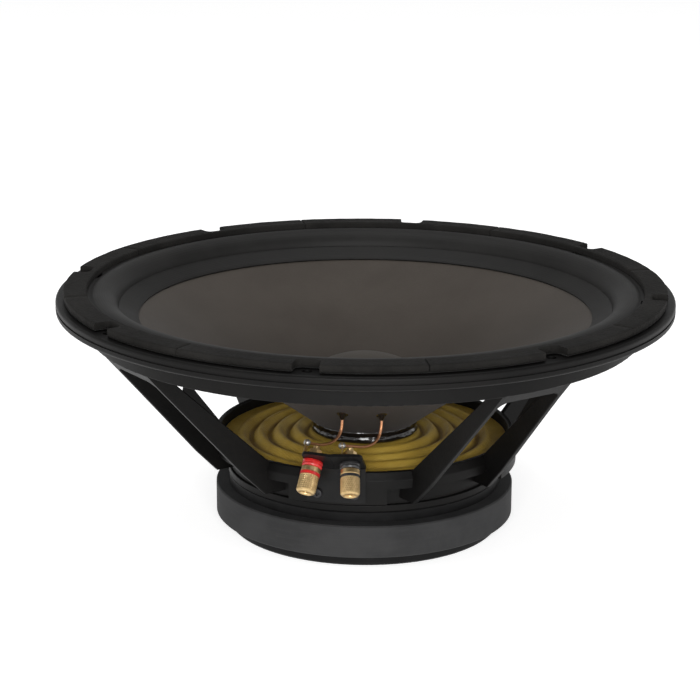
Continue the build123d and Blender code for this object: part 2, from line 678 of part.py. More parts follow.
def bracket_screw_places():
    """Screws that enter the skirt radially, one each side of the bracket's middle."""
    radius = SKIRT_RADIUS + BOND + BRACKET_THICKNESS
    height = BASE_TOP + BRACKET_SCREW_HEIGHT
    place = Pos(0, -radius, height) * Rot(90, 0, 0)
    return [at_azimuth(place, side * BRACKET_SCREW_AZIMUTH) for side in (-1, 1)]


def bracket_screw_holes():
    hole = drum(BRACKET_SCREW_RADIUS + BOND, -BRACKET_SCREW_REACH - BOND, PROUD)
    return [place * hole for place in bracket_screw_places()]


def bracket_screws():
    screw = pan_screw(BRACKET_SCREW_RADIUS, BRACKET_SCREW_REACH,
                      BRACKET_SCREW_HEAD_RADIUS, BRACKET_SCREW_HEAD)
    return Compound([place * screw for place in bracket_screw_places()])


def tab_half(colour):
    """One facet of the tab, square to its post, cut where the two facets meet."""
    plane = post_plane(colour)
    inner = SKIRT_RADIUS + BOND + BRACKET_THICKNESS / 2
    below = (POST_RADIUS_AT_TAB - inner) / sin(radians(POST_DIP))
    width = 2 * (POST_SPREAD[colour] + BRACKET_HALF_WIDTH)
    face = Pos(0, (TAB_ABOVE_POST - below) / 2) * Rectangle(width, TAB_ABOVE_POST + below)
    slab = extrude(plane * face, -BRACKET_THICKNESS)
    side = POST_SIDES[colour]
    own_side = Box(BRACKET_HALF_WIDTH, 4 * SKIRT_RADIUS, 4 * FLANGE_TOP)
    facet = slab & Pos(side * BRACKET_HALF_WIDTH / 2, 0, 0) * own_side
    short = facet.edges().filter_by(lambda edge: edge.length < 2 * BRACKET_THICKNESS)
    corner = short.sort_by(lambda edge: edge.center().Z + side * edge.center().X)[-1]
    return fillet(corner, TAB_CORNER)


def terminal_bracket():
    inner = SKIRT_RADIUS + BOND
    outer = inner + BRACKET_THICKNESS
    fold = POST_HEIGHT_AT_TAB - (POST_RADIUS_AT_TAB - inner) / tan(radians(POST_DIP))
    bend_height = fold + BRACKET_THICKNESS / 2
    half_angle = degrees(asin(BRACKET_HALF_WIDTH / outer))
    bottom = SKIRT_BOTTOM + BRACKET_START - SKIRT_GAP
    strip = ring(inner, outer, bottom, bend_height)
    strip = strip & wedge(half_angle, PROUD_SHARE * outer, bottom, bend_height)
    bracket = strip + [tab_half(colour) for colour in POST_SIDES]
    for colour in POST_SIDES:
        hole = drum(COLLAR_SPIGOT_RADIUS + BOND, -2 * BRACKET_THICKNESS, PROUD)
        bracket = bracket - post_plane(colour).location * hole
    return bracket - bracket_screw_holes()


# ---------------------------------------------------------------- binding posts, along local Z
def collar():
    """Insulator in front of the tab, with a spigot that lines the hole."""
    body = drum(COLLAR_RADIUS, 0, COLLAR_HEIGHT) + drum(COLLAR_SPIGOT_RADIUS, -BRACKET_THICKNESS, 0)
    return body - drum(STUD_RADIUS + BOND, -BRACKET_THICKNESS, COLLAR_HEIGHT)


def back_washer():
    top = -BRACKET_THICKNESS
    return tube(STUD_RADIUS + BOND, WASHER_RADIUS, top - WASHER_HEIGHT, top)


def stud():
    """Threaded tail and a thicker socket for a plug, with a cross hole for bare wire."""
    start = COLLAR_HEIGHT
    end = cap_start() + CAP_LENGTH - SOCKET_RECESS
    body = drum(STUD_RADIUS, -STUD_TAIL, start) + drum(SOCKET_RADIUS, start, end)
    body = body - drum(SOCKET_BORE, end - SOCKET_BORE_DEPTH, end)
    wire_height = start + WIRE_HOLE_RADIUS + BODY_GAP
    wire_hole = Pos(0, 0, wire_height) * Rot(0, 90, 0) * Cylinder(WIRE_HOLE_RADIUS, 3 * SOCKET_RADIUS)
    return body - wire_hole


def clamp_ring():
    start = COLLAR_HEIGHT + BODY_GAP
    body = tube(SOCKET_RADIUS + RUNNING_CLEARANCE, CLAMP_RING_RADIUS, start, start + CLAMP_RING_HEIGHT)
    rims = body.edges().filter_by(GeomType.CIRCLE).group_by(SortBy.RADIUS)[-1]
    return chamfer(rims, CLAMP_RING_CHAMFER)


def cap_start():
    return COLLAR_HEIGHT + BODY_GAP + CLAMP_RING_HEIGHT + BODY_GAP


def cap_band(colour):
    start = cap_start()
    return tube(CAP_NECK_RADIUS + BOND, BAND_RADIUS[colour], start, start + BAND_HEIGHT)


def cap():
    """Barrel nut with a neck for the coloured band and a chamfered mouth."""
    start = cap_start()
    end = start + CAP_LENGTH
    barrel = drum(CAP_RADIUS, start + BAND_HEIGHT, end)
    barrel = chamfer(barrel.edges().group_by(Axis.Z)[-1], CAP_CHAMFER)
    body = barrel + drum(CAP_NECK_RADIUS, start, start + BAND_HEIGHT)
    return body - drum(SOCKET_RADIUS + RUNNING_CLEARANCE, start - PROUD, end + PROUD)


def solder_lug(colour):
    """Ring terminal under the nut, with its tab bent up behind the bracket."""
    top = -BRACKET_THICKNESS - WASHER_HEIGHT
    bottom = top - LUG_THICKNESS
    reach = LUG_SIDE[colour]
    foot = Pos(-reach / 2, 0, bottom + LUG_THICKNESS / 2) * Box(reach, LUG_WIDTH, LUG_THICKNESS)
    tab = Pos(-reach, 0, top - LUG_HEIGHT / 2) * Box(LUG_THICKNESS, LUG_WIDTH, LUG_HEIGHT)
    hole = drum(STUD_RADIUS + BOND, bottom - PROUD, top + PROUD)
    return drum(LUG_RADIUS, bottom, top) + foot + tab - hole


def nut():
    top = -BRACKET_THICKNESS - WASHER_HEIGHT - LUG_THICKNESS
    hexagon = RegularPolygon(NUT_ACROSS_FLATS / 2, 6, major_radius=False)
    body = extrude(Pos(0, 0, top) * hexagon, -NUT_HEIGHT)
    return body - drum(STUD_RADIUS + BOND, top - NUT_HEIGHT - PROUD, top + PROUD)


def solder_place(colour):
    """Middle of the solder joint, near the end of the lug's tab."""
    top = -BRACKET_THICKNESS - WASHER_HEIGHT
    return Vector(-LUG_SIDE[colour], 0, top - LUG_HEIGHT + SOLDER_DROP)


def solder_joint(colour):
    blob = Pos(solder_place(colour)) * Sphere(SOLDER_RADIUS)
    return blob - solder_lug(colour)


def post_pieces(colour):
    """Every piece of one binding post, in its own local frame."""
    return {
        f"{colour}_insulating_collar": collar(),
        f"{colour}_back_washer": back_washer(),
        f"{colour}_post_stud": stud(),
        f"{colour}_clamp_ring": clamp_ring(),
        f"{colour}_cap_band": cap_band(colour),
        f"{colour}_knurled_cap": cap(),
        f"{colour}_solder_lug": solder_lug(colour),
        f"{colour}_hex_nut": nut(),
        f"{colour}_solder_joint": solder_joint(colour),
    }


# ---------------------------------------------------------------- tinsel leads
def lead_route(colour):
    """From the solder joint, down over the spider and up to the eyelet under the cone."""
    joint = post_plane(colour).from_local_coords(solder_place(colour))
    first = Vector(*LEAD_POINTS[colour][0])
    start = joint + (first - joint).normalized() * SOLDER_RADIUS
    x, y, _ = LEAD_POINTS[colour][-1]
    end = Vector(x, y, eyelet_bottom(colour))
    return [start, *[Vector(*point) for point in LEAD_POINTS[colour]], end]


def eyelet_bottom(colour):
    radius = hypot(*LEAD_POINTS[colour][-1][:2])
    return cone_height(radius - EYELET_RADIUS, -CONE_THICKNESS / 2) - EYELET_DROP


def eyelet(colour):
    """Dab of adhesive that anchors the lead to the back of the cone."""
    x, y, _ = LEAD_POINTS[colour][-1]
    bottom = eyelet_bottom(colour)
    dab = Pos(x, y, 0) * drum(EYELET_RADIUS, bottom, bottom + EYELET_DROP + 2 * EYELET_RADIUS)
    return dab - cone_body(-CONE_THICKNESS / 2 - BOND, 4 * EYELET_RADIUS)


def bend_radii(points):
    """Each bend is as large as its two runs allow."""
    radii = []
    for before, here, after in zip(points, points[1:], points[2:]):
        turn = radians((here - before).get_angle(after - here))
        run = min((here - before).length, (after - here).length)
        radii.append(BEND_SHARE * run / tan(turn / 2))
    return radii


def tinsel_lead(colour):
    points = lead_route(colour)
    radii = bend_radii(points)
    path = FilletPolyline(*points, radius=radii)
    lead = sweep(Plane(path @ 0, z_dir=path % 0) * Circle(LEAD_DIAMETER / 2), path=path)
    expected = pi * LEAD_DIAMETER**2 / 4 * path.length
    print(colour, "lead: length", round(path.length, 1), "bend radii", [round(r, 1) for r in radii],
          "volume over section times length", round(lead.volume / expected, 4))
    return lead


# ---------------------------------------------------------------- assembly
def build():
    parts = {
        "t_yoke": t_yoke(),
        "magnet": magnet(),
        "top_plate": top_plate(),
        "basket": basket(),
        "basket_screws": basket_screws(),
        "voice_coil_former": former(),
        "voice_coil_winding": winding(),
        "spider": spider(),
        "cone": cone(),
        "neck_bead": neck_bead(),
        "dust_cap": dust_cap(),
        "surround": surround(),
        "terminal_bracket": terminal_bracket(),
        "bracket_screws": bracket_screws(),
    }
    parts.update(gasket_segments())
    for colour in POST_SIDES:
        place = post_plane(colour).location
        for name, piece in post_pieces(colour).items():
            parts[name] = place * piece
        parts[f"{colour}_lead_eyelet"] = eyelet(colour)
        parts[f"{colour}_tinsel_lead"] = tinsel_lead(colour)
    return parts


os.makedirs("parts", exist_ok=True)
for name, piece in build().items():
    export_step(piece, f"parts/{name}.step")
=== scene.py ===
import bmesh
import bpy
import json
from math import asin, atan2, cos, floor, hypot, pi, radians, sin, sqrt, tan
from mathutils import Matrix, Vector, noise


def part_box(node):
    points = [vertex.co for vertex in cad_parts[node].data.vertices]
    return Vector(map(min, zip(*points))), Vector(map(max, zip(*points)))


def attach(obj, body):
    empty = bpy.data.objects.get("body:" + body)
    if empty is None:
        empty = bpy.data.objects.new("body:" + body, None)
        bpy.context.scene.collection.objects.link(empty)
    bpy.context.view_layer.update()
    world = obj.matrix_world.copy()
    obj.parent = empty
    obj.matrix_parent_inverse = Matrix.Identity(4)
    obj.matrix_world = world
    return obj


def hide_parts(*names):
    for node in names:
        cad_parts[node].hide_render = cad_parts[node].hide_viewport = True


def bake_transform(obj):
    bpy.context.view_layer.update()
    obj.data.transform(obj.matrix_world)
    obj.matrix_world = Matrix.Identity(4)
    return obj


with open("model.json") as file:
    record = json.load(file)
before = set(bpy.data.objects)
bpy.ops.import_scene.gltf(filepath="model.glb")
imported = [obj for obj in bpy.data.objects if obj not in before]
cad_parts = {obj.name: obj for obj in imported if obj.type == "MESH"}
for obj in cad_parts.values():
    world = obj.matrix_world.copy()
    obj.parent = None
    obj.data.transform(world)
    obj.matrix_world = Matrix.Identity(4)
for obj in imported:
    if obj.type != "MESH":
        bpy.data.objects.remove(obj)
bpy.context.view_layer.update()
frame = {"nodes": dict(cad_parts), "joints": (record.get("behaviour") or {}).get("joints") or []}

# ------------------------------------------------------------------ camera
# A long lens on a tripod, a little to the right of the terminals and looking down on the basket.
CAMERA_AZIMUTH = radians(10.0)
CAMERA_REACH = 1.41834
CAMERA_HEIGHT = 0.51261
CAMERA_DIP = 0.2741
CAMERA_PAN = 0.0068
CAMERA_ROLL = 0.0048
FOCAL_LENGTH = 118.17
SENSOR_WIDTH = 36.0

lens = bpy.data.cameras.new("long_lens")
lens.sensor_width = SENSOR_WIDTH
lens.lens = FOCAL_LENGTH
camera = bpy.data.objects.new("camera", lens)
bpy.context.scene.collection.objects.link(camera)
tripod = (CAMERA_REACH * sin(CAMERA_AZIMUTH), -CAMERA_REACH * cos(CAMERA_AZIMUTH), CAMERA_HEIGHT)
camera.matrix_world = (
    Matrix.Translation(Vector(tripod))
    @ Matrix.Rotation(CAMERA_AZIMUTH + CAMERA_PAN, 4, "Z")
    @ Matrix.Rotation(pi / 2 - CAMERA_DIP, 4, "X")
    @ Matrix.Rotation(CAMERA_ROLL, 4, "Z")
)
bpy.context.scene.camera = camera
bpy.context.scene.view_settings.view_transform = "Standard"


# ------------------------------------------------------------------ floor and lights
# A white, evenly lit sweep in a white room whose ceiling is dimmer than its walls.  An overhead
# softbox and a low front panel do most of the work, and two weak side panels fill in.
FLOOR_RADIUS = 9.0
FLOOR_CORNERS = 64
FLOOR_GLOW = 0.66
WALL_GLOW = 1.0
CEILING_GLOW = 0.3
CREASE = radians(38)


class Signal:
    """A value that changes over a surface.  Arithmetic on it adds Math nodes."""

    def __init__(self, finish, socket):
        self.finish = finish
        self.socket = socket

    def math(self, operation, *values):
        return self.finish.node("ShaderNodeMath", {"operation": operation}, values)

    def __add__(self, other):
        return self.math("ADD", self, other)

    __radd__ = __add__

    def __sub__(self, other):
        return self.math("SUBTRACT", self, other)

    def __rsub__(self, other):
        return self.math("SUBTRACT", other, self)

    def __mul__(self, other):
        return self.math("MULTIPLY", self, other)

    __rmul__ = __mul__

    def __truediv__(self, other):
        return self.math("DIVIDE", self, other)

    def __pow__(self, other):
        return self.math("POWER", self, other)

    def sine(self):
        return self.math("SINE", self)

    def size(self):
        return self.math("ABSOLUTE", self)

    def at_least(self, other):
        return self.math("MAXIMUM", self, other)

    def ramp(self, low, high):
        """0 below low, 1 above high, smooth between them; low may be the greater."""
        settings = {"interpolation_type": "SMOOTHSTEP"}
        values = {"Value": self, "From Min": low, "From Max": high}
        return self.finish.node("ShaderNodeMapRange", settings, values)


class Finish:
    """A material built round one Principled shader."""

    def __init__(self, name, **constants):
        self.material = bpy.data.materials.new(name)
        self.material.use_nodes = True
        self.tree = self.material.node_tree
        self.shader = self.tree.nodes["Principled BSDF"]
        for socket, value in constants.items():
            self.shader.inputs[socket.replace("_", " ")].default_value = value
        self.place = self.node("ShaderNodeTexCoord", {}, {}, "Object")

    def node(self, kind, settings, values, output=0):
        made = self.tree.nodes.new(kind)
        for name, value in settings.items():
            setattr(made, name, value)
        for key, value in values.items() if isinstance(values, dict) else enumerate(values):
            if isinstance(value, Signal):
                self.tree.links.new(value.socket, made.inputs[key])
            else:
                made.inputs[key].default_value = value
        return Signal(self, made.outputs[output])

    def grain(self, scale, detail=4.0, roughness=0.6, where=None):
        """Noise between about 0.2 and 0.8; scale is features per metre."""
        values = {"Vector": where or self.place, "Scale": scale, "Detail": detail, "Roughness": roughness}
        return self.node("ShaderNodeTexNoise", {}, values, "Fac")

    def axes(self, where=None):
        split = self.node("ShaderNodeSeparateXYZ", {}, [where or self.place])
        outputs = split.socket.node.outputs
        return [Signal(self, outputs[k]) for k in range(3)]

    def radius(self):
        """Distance from the driver's axis."""
        x, y, _ = self.axes()
        return (x * x + y * y) ** 0.5

    def stretched(self, x, y, z):
        """Surface coordinates multiplied along each axis."""
        return self.node("ShaderNodeVectorMath", {"operation": "MULTIPLY"}, [self.place, (x, y, z)])

    def mix(self, share, first, second):
        """first where share is 0, second where it is 1; both are colours."""
        colours = [(*c, 1.0) if isinstance(c, tuple) else c for c in (first, second)]
        values = {0: share, 6: colours[0], 7: colours[1]}
        return self.node("ShaderNodeMix", {"data_type": "RGBA"}, values, 2)

    def put(self, socket, signal):
        self.tree.links.new(signal.socket, self.shader.inputs[socket])

    def bump(self, height, depth, strength=1.0):
        values = {"Height": height, "Distance": depth, "Strength": strength}
        self.put("Normal", self.node("ShaderNodeBump", {}, values))

    def cover(self, *pieces):
        for piece in pieces:
            piece.data.materials.clear()
            piece.data.materials.append(self.material)


def link_mesh(name, mesh, crease=CREASE):
    """Puts a mesh into the scene, shaded smooth except across real edges."""
    mesh.shade_smooth()
    mesh.set_sharp_from_angle(angle=crease)
    piece = bpy.data.objects.new(name, mesh)
    bpy.context.scene.collection.objects.link(piece)
    return piece


def sweep_white():
    finish = Finish("studio_sweep", Roughness=0.9, Specular_IOR_Level=0.0,
                    Emission_Color=(1.0, 1.0, 1.0, 1.0), Emission_Strength=FLOOR_GLOW)
    speckle = finish.grain(3.0, 2.0)
    finish.put("Base Color", finish.mix(speckle, (0.80, 0.80, 0.80), (0.84, 0.84, 0.84)))
    return finish


def soft_panel(name, location, size, power, aim):
    light = bpy.data.lights.new(name, "AREA")
    light.shape = "RECTANGLE"
    light.size, light.size_y = size
    light.energy = power
    panel = bpy.data.objects.new(name, light)
    panel.location = location
    panel.rotation_euler = (Vector(aim) - Vector(location)).to_track_quat("-Z", "Y").to_euler()
    bpy.context.scene.collection.objects.link(panel)


floor_mesh = bpy.data.meshes.new("floor")
rim = [(FLOOR_RADIUS * cos(a), FLOOR_RADIUS * sin(a), 0.0)
       for a in (2 * pi * k / FLOOR_CORNERS for k in range(FLOOR_CORNERS))]
floor_mesh.from_pydata(rim, [], [list(range(FLOOR_CORNERS))])
studio_floor = link_mesh("floor", floor_mesh)
sweep_white().cover(studio_floor)

world = bpy.data.worlds.new("white_room")
world.use_nodes = True
room = world.node_tree
direction = room.nodes.new("ShaderNodeTexCoord")
split = room.nodes.new("ShaderNodeSeparateXYZ")
fade = room.nodes.new("ShaderNodeMapRange")
fade.interpolation_type = "SMOOTHSTEP"
fades = {"From Min": 0.02, "From Max": 0.5, "To Min": WALL_GLOW, "To Max": CEILING_GLOW}
for socket, value in fades.items():
    fade.inputs[socket].default_value = value
room.links.new(direction.outputs["Generated"], split.inputs[0])
room.links.new(split.outputs["Z"], fade.inputs["Value"])
room.links.new(fade.outputs[0], room.nodes["Background"].inputs["Strength"])
room.nodes["Background"].inputs["Color"].default_value = (1.0, 1.0, 1.0, 1.0)
bpy.context.scene.world = world
soft_panel("overhead_softbox", (-0.2, 0.3, 1.7), (1.4, 1.0), 9.0, (0, 0, 0.08))
soft_panel("front_panel", (0.35, -1.9, 0.62), (0.9, 0.5), 26.0, (0, 0, 0.06))
soft_panel("left_panel", (-1.5, -0.9, 0.9), (0.7, 1.2), 4.0, (0, 0, 0.08))
soft_panel("right_panel", (1.5, -0.7, 0.8), (0.6, 1.0), 3.0, (0, 0, 0.08))


# ------------------------------------------------------------------ magnet
# A ring of hard ferrite, pressed and sintered, ground on its faces and left bare: dull charcoal
# with fine pits, and paler chips along its edges.  It is glued between back plate and top plate.
EDGE_WEAR = 0.0016


def ferrite():
    finish = Finish("ground_ferrite", Specular_IOR_Level=0.12)
    low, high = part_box("magnet")
    middle = (low.z + high.z) / 2
    edge_height = high.z - middle
    _, _, z = finish.axes()
    cloud = finish.grain(38.0, 5.0)
    pits = finish.grain(2600.0, 3.0)
    streaks = finish.grain(1.0, 4.0, 0.7, finish.stretched(60.0, 60.0, 900.0))
    edge = (z - middle).size().ramp(edge_height - EDGE_WEAR, edge_height)
    chips = (finish.grain(420.0, 5.0, 0.75) + edge * 0.10).ramp(0.74, 0.80) * edge
    body = finish.mix(cloud.ramp(0.35, 0.65), (0.025, 0.025, 0.0255), (0.034, 0.034, 0.0345))
    body = finish.mix(streaks.ramp(0.45, 0.75) * 0.5, body, (0.038, 0.038, 0.0385))
    finish.put("Base Color", finish.mix(chips * 0.6, body, (0.075, 0.075, 0.075)))
    finish.put("Roughness", 0.62 + 0.2 * cloud)
    finish.bump(pits * 0.4 + streaks * 0.4 - chips * 0.5, 0.00006, 0.4)
    return finish


ferrite().cover(frame["nodes"]["magnet"])


# ------------------------------------------------------------------ back plate with pole, and top plate
# Low-carbon steel, turned on a lathe and passivated black; the fine tool marks run round the axis.
# The back plate and its vented pole are one forging, and the top plate is glued on the magnet.
def turned_steel():
    finish = Finish("black_passivated_steel", Specular_IOR_Level=0.12)
    radius = finish.radius()
    wobble = finish.grain(60.0, 2.0)
    marks = (radius * 5200.0 + wobble * 3.0).sine()
    cloud = finish.grain(55.0, 5.0)
    scuffs = finish.grain(1.0, 5.0, 0.7, finish.stretched(500.0, 90.0, 500.0)).ramp(0.60, 0.75)
    base = finish.mix(cloud.ramp(0.3, 0.7), (0.0035, 0.0035, 0.0036), (0.0065, 0.0063, 0.0065))
    finish.put("Base Color", finish.mix(scuffs * 0.4, base, (0.016, 0.0155, 0.015)))
    finish.put("Roughness", 0.38 + 0.22 * cloud - 0.08 * scuffs)
    finish.bump(marks * 0.5 + cloud, 0.00006, 0.5)
    return finish


steel = turned_steel()
steel.cover(frame["nodes"]["t_yoke"], frame["nodes"]["top_plate"])


# ------------------------------------------------------------------ basket
# One aluminium pressure casting: flange and wall, four pairs of twin legs, and the hub that holds
# the spider.  It is sprayed satin black, which leaves a fine grain.
def sprayed_casting():
    finish = Finish("satin_black_spray", Specular_IOR_Level=0.13)
    grain = finish.grain(1500.0, 2.0, 0.5)
    orange_peel = finish.grain(420.0, 3.0, 0.5)
    cloud = finish.grain(24.0, 5.0)
    dust = finish.grain(900.0, 4.0, 0.8).ramp(0.66, 0.80) * cloud.ramp(0.45, 0.7)
    base = finish.mix(cloud.ramp(0.3, 0.7), (0.0020, 0.0019, 0.0018), (0.0042, 0.0038, 0.0035))
    finish.put("Base Color", finish.mix(dust * 0.35, base, (0.05, 0.045, 0.04)))
    finish.put("Roughness", 0.40 + 0.16 * cloud + 0.12 * dust)
    finish.bump(grain * 0.5 + orange_peel, 0.00016, 0.55)
    return finish


sprayed_casting().cover(frame["nodes"]["basket"])


# ------------------------------------------------------------------ spider
# A disc of open-weave cotton, dipped in phenolic resin and pressed hot into round corrugations.
# Its edge is glued to the hub's shelf and its collar to the former; the resin dries golden brown.
SHELF_TOP = 0.0565
SPIDER_TOP = 0.0606
NECK_BORE = 0.02585
SPIDER_COLLAR = 0.0088
SPIDER_LANDING = 0.010
SPIDER_WAVES = 4
SPIDER_WAVE_HEIGHT = 0.0024
SPIDER_THICKNESS = 0.0008
SECTORS = 16
SECTOR_STEPS = 9
YARNS_PER_METRE = 760.0


def revolved(name, profile, azimuths, move=None):
    """A closed (radius, height) profile, anticlockwise, set at each azimuth and skinned.

    Azimuths that span a full turn close on themselves; fewer get end faces.  move shifts a
    profile point at an azimuth.  Azimuth 0 is at -Y.
    """
    full = abs(azimuths[-1] - azimuths[0] - 2 * pi) < 1e-6
    stations = azimuths[:-1] if full else azimuths
    count = len(profile)
    points = []
    for a in stations:
        for r, z in profile:
            if move:
                r, z = move(r, z, a)
            points.append((r * sin(a), -r * cos(a), z))
    faces = []
    for j in range(len(azimuths) - 1):
        one, two = j * count, (j + 1) % len(stations) * count
        for k in range(count):
            after = (k + 1) % count
            faces.append((one + k, two + k, two + after, one + after))
    if not full:
        last = (len(stations) - 1) * count
        faces.append(tuple(range(count)))
        faces.append(tuple(reversed(range(last, last + count))))
    mesh = bpy.data.meshes.new(name)
    mesh.from_pydata(points, [], faces)
    return link_mesh(name, mesh, radians(50))


def even_turn(steps, start=0.0, end=2 * pi):
    return [start + (end - start) * k / steps for k in range(steps + 1)]


def smooth_across(piece, profile, azimuths):
    """Gives a sector the normals of the whole revolved surface, so that no seam shows."""
    flat = []
    for k, here in enumerate(profile):
        before, after = profile[k - 1], profile[(k + 1) % len(profile)]
        run = Vector((after[0] - before[0], after[1] - before[1])).normalized()
        flat.append((run.y, -run.x))
    normals = [(nr * sin(a), -nr * cos(a), nz) for a in azimuths for nr, nz in flat]
    piece.data.normals_split_custom_set_from_vertices(normals)


def thick_line(line, thickness):
    """A closed profile, anticlockwise, round an open line that runs outwards."""
    under, over = [], []
    for k, (r, z) in enumerate(line):
        before, after = line[max(k - 1, 0)], line[min(k + 1, len(line) - 1)]
        run = Vector((after[0] - before[0], after[1] - before[1])).normalized() * thickness / 2
        under.append((r + run.y, z - run.x))
        over.append((r - run.y, z + run.x))
    return under + over[::-1]


def spider_line():
    """Collar, then waves from the collar outwards, then the landing."""
    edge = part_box("spider")[1].x
    landing = SHELF_TOP + SPIDER_THICKNESS / 2
    outer, inner = edge - SPIDER_LANDING, NECK_BORE + SPIDER_COLLAR
    line = [(NECK_BORE, SPIDER_TOP), ((NECK_BORE + inner) / 2, SPIDER_TOP)]
    steps = 14 * SPIDER_WAVES
    for k in range(steps + 1):
        t = k / steps
        lift = SPIDER_WAVE_HEIGHT * sin(2 * pi * SPIDER_WAVES * t)
        line.append((inner + (outer - inner) * t, SPIDER_TOP + (landing - SPIDER_TOP) * t - lift))
    return line + [(outer + 0.002, landing), (edge, landing)]


def flexing_sectors(name, profile, azimuths_of, finish, node, move=None):
    """The whole ring as sectors, each revolved over its own stretch of azimuths, standing in for the part.
    """
    for k in range(SECTORS):
        azimuths = azimuths_of(k)
        sector = revolved(f"{name}_{k + 1}", profile, azimuths, move)
        smooth_across(sector, profile, azimuths)
        finish.cover(sector)
        middle = (azimuths[0] + azimuths[-1]) / 2
        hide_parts(node)
        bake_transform(sector)


def resin_cloth():
    finish = Finish("resin_dipped_cloth", Specular_IOR_Level=0.2)
    x, y, _ = finish.axes()
    warp = (x * (2 * pi * YARNS_PER_METRE)).sine()
    weft = (y * (2 * pi * YARNS_PER_METRE)).sine()
    weave = (warp * weft) * 0.5 + 0.5
    open_holes = (warp.size() * weft.size()).ramp(0.55, 1.0)
    resin = finish.grain(52.0, 5.0)
    blotch = finish.grain(16.0, 3.0)
    reach = finish.radius()
    collar, rim = NECK_BORE + SPIDER_COLLAR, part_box("spider")[1].x - SPIDER_LANDING
    waves = ((reach - collar) * (2 * pi * SPIDER_WAVES / (rim - collar))).sine()
    # Painted shade: the troughs of the round corrugations are darkened, standing in for the shade the rolls
    # cast into them.
    painted_trough_shade = waves.ramp(0.35, 1.0) * reach.ramp(rim, rim - 0.002)
    resin_and_painted_shade = (1.0 - weave) * 0.25 + blotch.ramp(0.55, 0.8) * 0.25 + painted_trough_shade * 0.75
    pale, dark = (0.50, 0.34, 0.055), (0.16, 0.09, 0.012)
    base = finish.mix(resin.ramp(0.3, 0.7), pale, (0.40, 0.26, 0.036))
    # The dark colour goes where the weave lies low and in resin blotches, and as painted shade in the
    # corrugation troughs.
    base = finish.mix(resin_and_painted_shade, base, dark)
    finish.put("Base Color", finish.mix(open_holes * 0.55, base, (0.045, 0.024, 0.008)))
    finish.put("Roughness", 0.42 + 0.25 * resin)
    finish.bump(weave * 0.8 + resin * 0.3 - open_holes * 0.5, 0.00035, 0.8)
    return finish


spider_profile = thick_line(spider_line(), SPIDER_THICKNESS)
flexing_sectors(
    "spider_sector", spider_profile,
    lambda k: even_turn(SECTOR_STEPS, k * 2 * pi / SECTORS, (k + 1) * 2 * pi / SECTORS),
    resin_cloth(), "spider",
)


# ------------------------------------------------------------------ cone
# Long-fibre pulp, felted on a mould and pressed, then coated on its face: a warm grey-black skin
# over matted fibre, and bare dark pulp behind.  It leans 38 degrees at the neck and 26 at the
# edge, and ends in a flat land.
NECK_POINT = (0.03105, 0.0673)
EDGE_POINT = (0.1450, 0.1380)
CONE_TURN = radians(12.0)
CONE_LAND = 0.013
CONE_THICKNESS = 0.0014
BARE_PULP = (0.017, 0.010, 0.006)
LEAN = atan2(EDGE_POINT[1] - NECK_POINT[1], EDGE_POINT[0] - NECK_POINT[0])
EDGE_LEAN = LEAN - CONE_TURN / 2
NECK_LEAN = LEAN + CONE_TURN / 2
BEND = hypot(EDGE_POINT[0] - NECK_POINT[0], EDGE_POINT[1] - NECK_POINT[1]) / 2 / sin(CONE_TURN / 2)
BEND_CENTRE = (NECK_POINT[0] + BEND * sin(NECK_LEAN), NECK_POINT[1] - BEND * cos(NECK_LEAN))


def on_cone(lean, offset=0.0):
    reach = BEND + offset
    return BEND_CENTRE[0] - reach * sin(lean), BEND_CENTRE[1] + reach * cos(lean)


def on_land(length, offset=0.0):
    r, z = on_cone(EDGE_LEAN, offset)
    return r + length * cos(EDGE_LEAN), z + length * sin(EDGE_LEAN)


def cone_height(radius, offset=0.0):
    return BEND_CENTRE[1] + sqrt((BEND + offset) ** 2 - (BEND_CENTRE[0] - radius) ** 2)


def cone_line():
    drop = (NECK_POINT[0] - NECK_BORE) * tan(NECK_LEAN) * 0.9
    neck = (NECK_BORE + CONE_THICKNESS / 2, NECK_POINT[1] - drop)
    curve = [on_cone(NECK_LEAN + (EDGE_LEAN - NECK_LEAN) * k / 40) for k in range(41)]
    return [neck] + curve + [on_land(CONE_LAND / cos(EDGE_LEAN))]


def coated_pulp(name, pale, dark):
    finish = Finish(name, Sheen_Weight=0.06, Sheen_Roughness=0.55, Specular_IOR_Level=0.2)
    mat = finish.grain(700.0, 6.0, 0.75)
    fibres = finish.grain(1.0, 3.0, 0.6, finish.stretched(1900.0, 420.0, 1900.0))
    crossed = finish.grain(1.0, 3.0, 0.6, finish.stretched(420.0, 1900.0, 1900.0))
    cloud = finish.grain(17.0, 4.0)
    felt = fibres.at_least(crossed)
    facing = finish.node("ShaderNodeNewGeometry", {}, {}, "Normal")
    _, _, upwards = finish.axes(facing)
    coated = finish.mix(cloud.ramp(0.3, 0.7), pale, dark)
    base = finish.mix(upwards.ramp(-0.2, 0.2), BARE_PULP, coated)
    flecks = felt.ramp(0.62, 0.78) * 0.35
    finish.put("Base Color", finish.mix(flecks, base, tuple(1.6 * c for c in pale)))
    finish.put("Roughness", 0.55 + 0.25 * mat)
    finish.bump(mat * 0.6 + felt * 0.8, 0.00022, 0.6)
    return finish


cone = revolved("pulp_cone", thick_line(cone_line(), CONE_THICKNESS), even_turn(192))
coated_pulp("coated_cone_pulp", (0.053, 0.044, 0.036), (0.044, 0.036, 0.029)).cover(cone)
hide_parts("cone")
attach(cone, "cone")


# ------------------------------------------------------------------ dust cap
# A pressed dome of the same pulp, glued on the cone's face over the neck with a thin bead of
# clear-drying cement that shows as a shiny line round its edge.
CAP_RADIUS = 0.052
CAP_RISE = 0.027
CAP_SKIN = 0.001
CEMENT = 0.0011


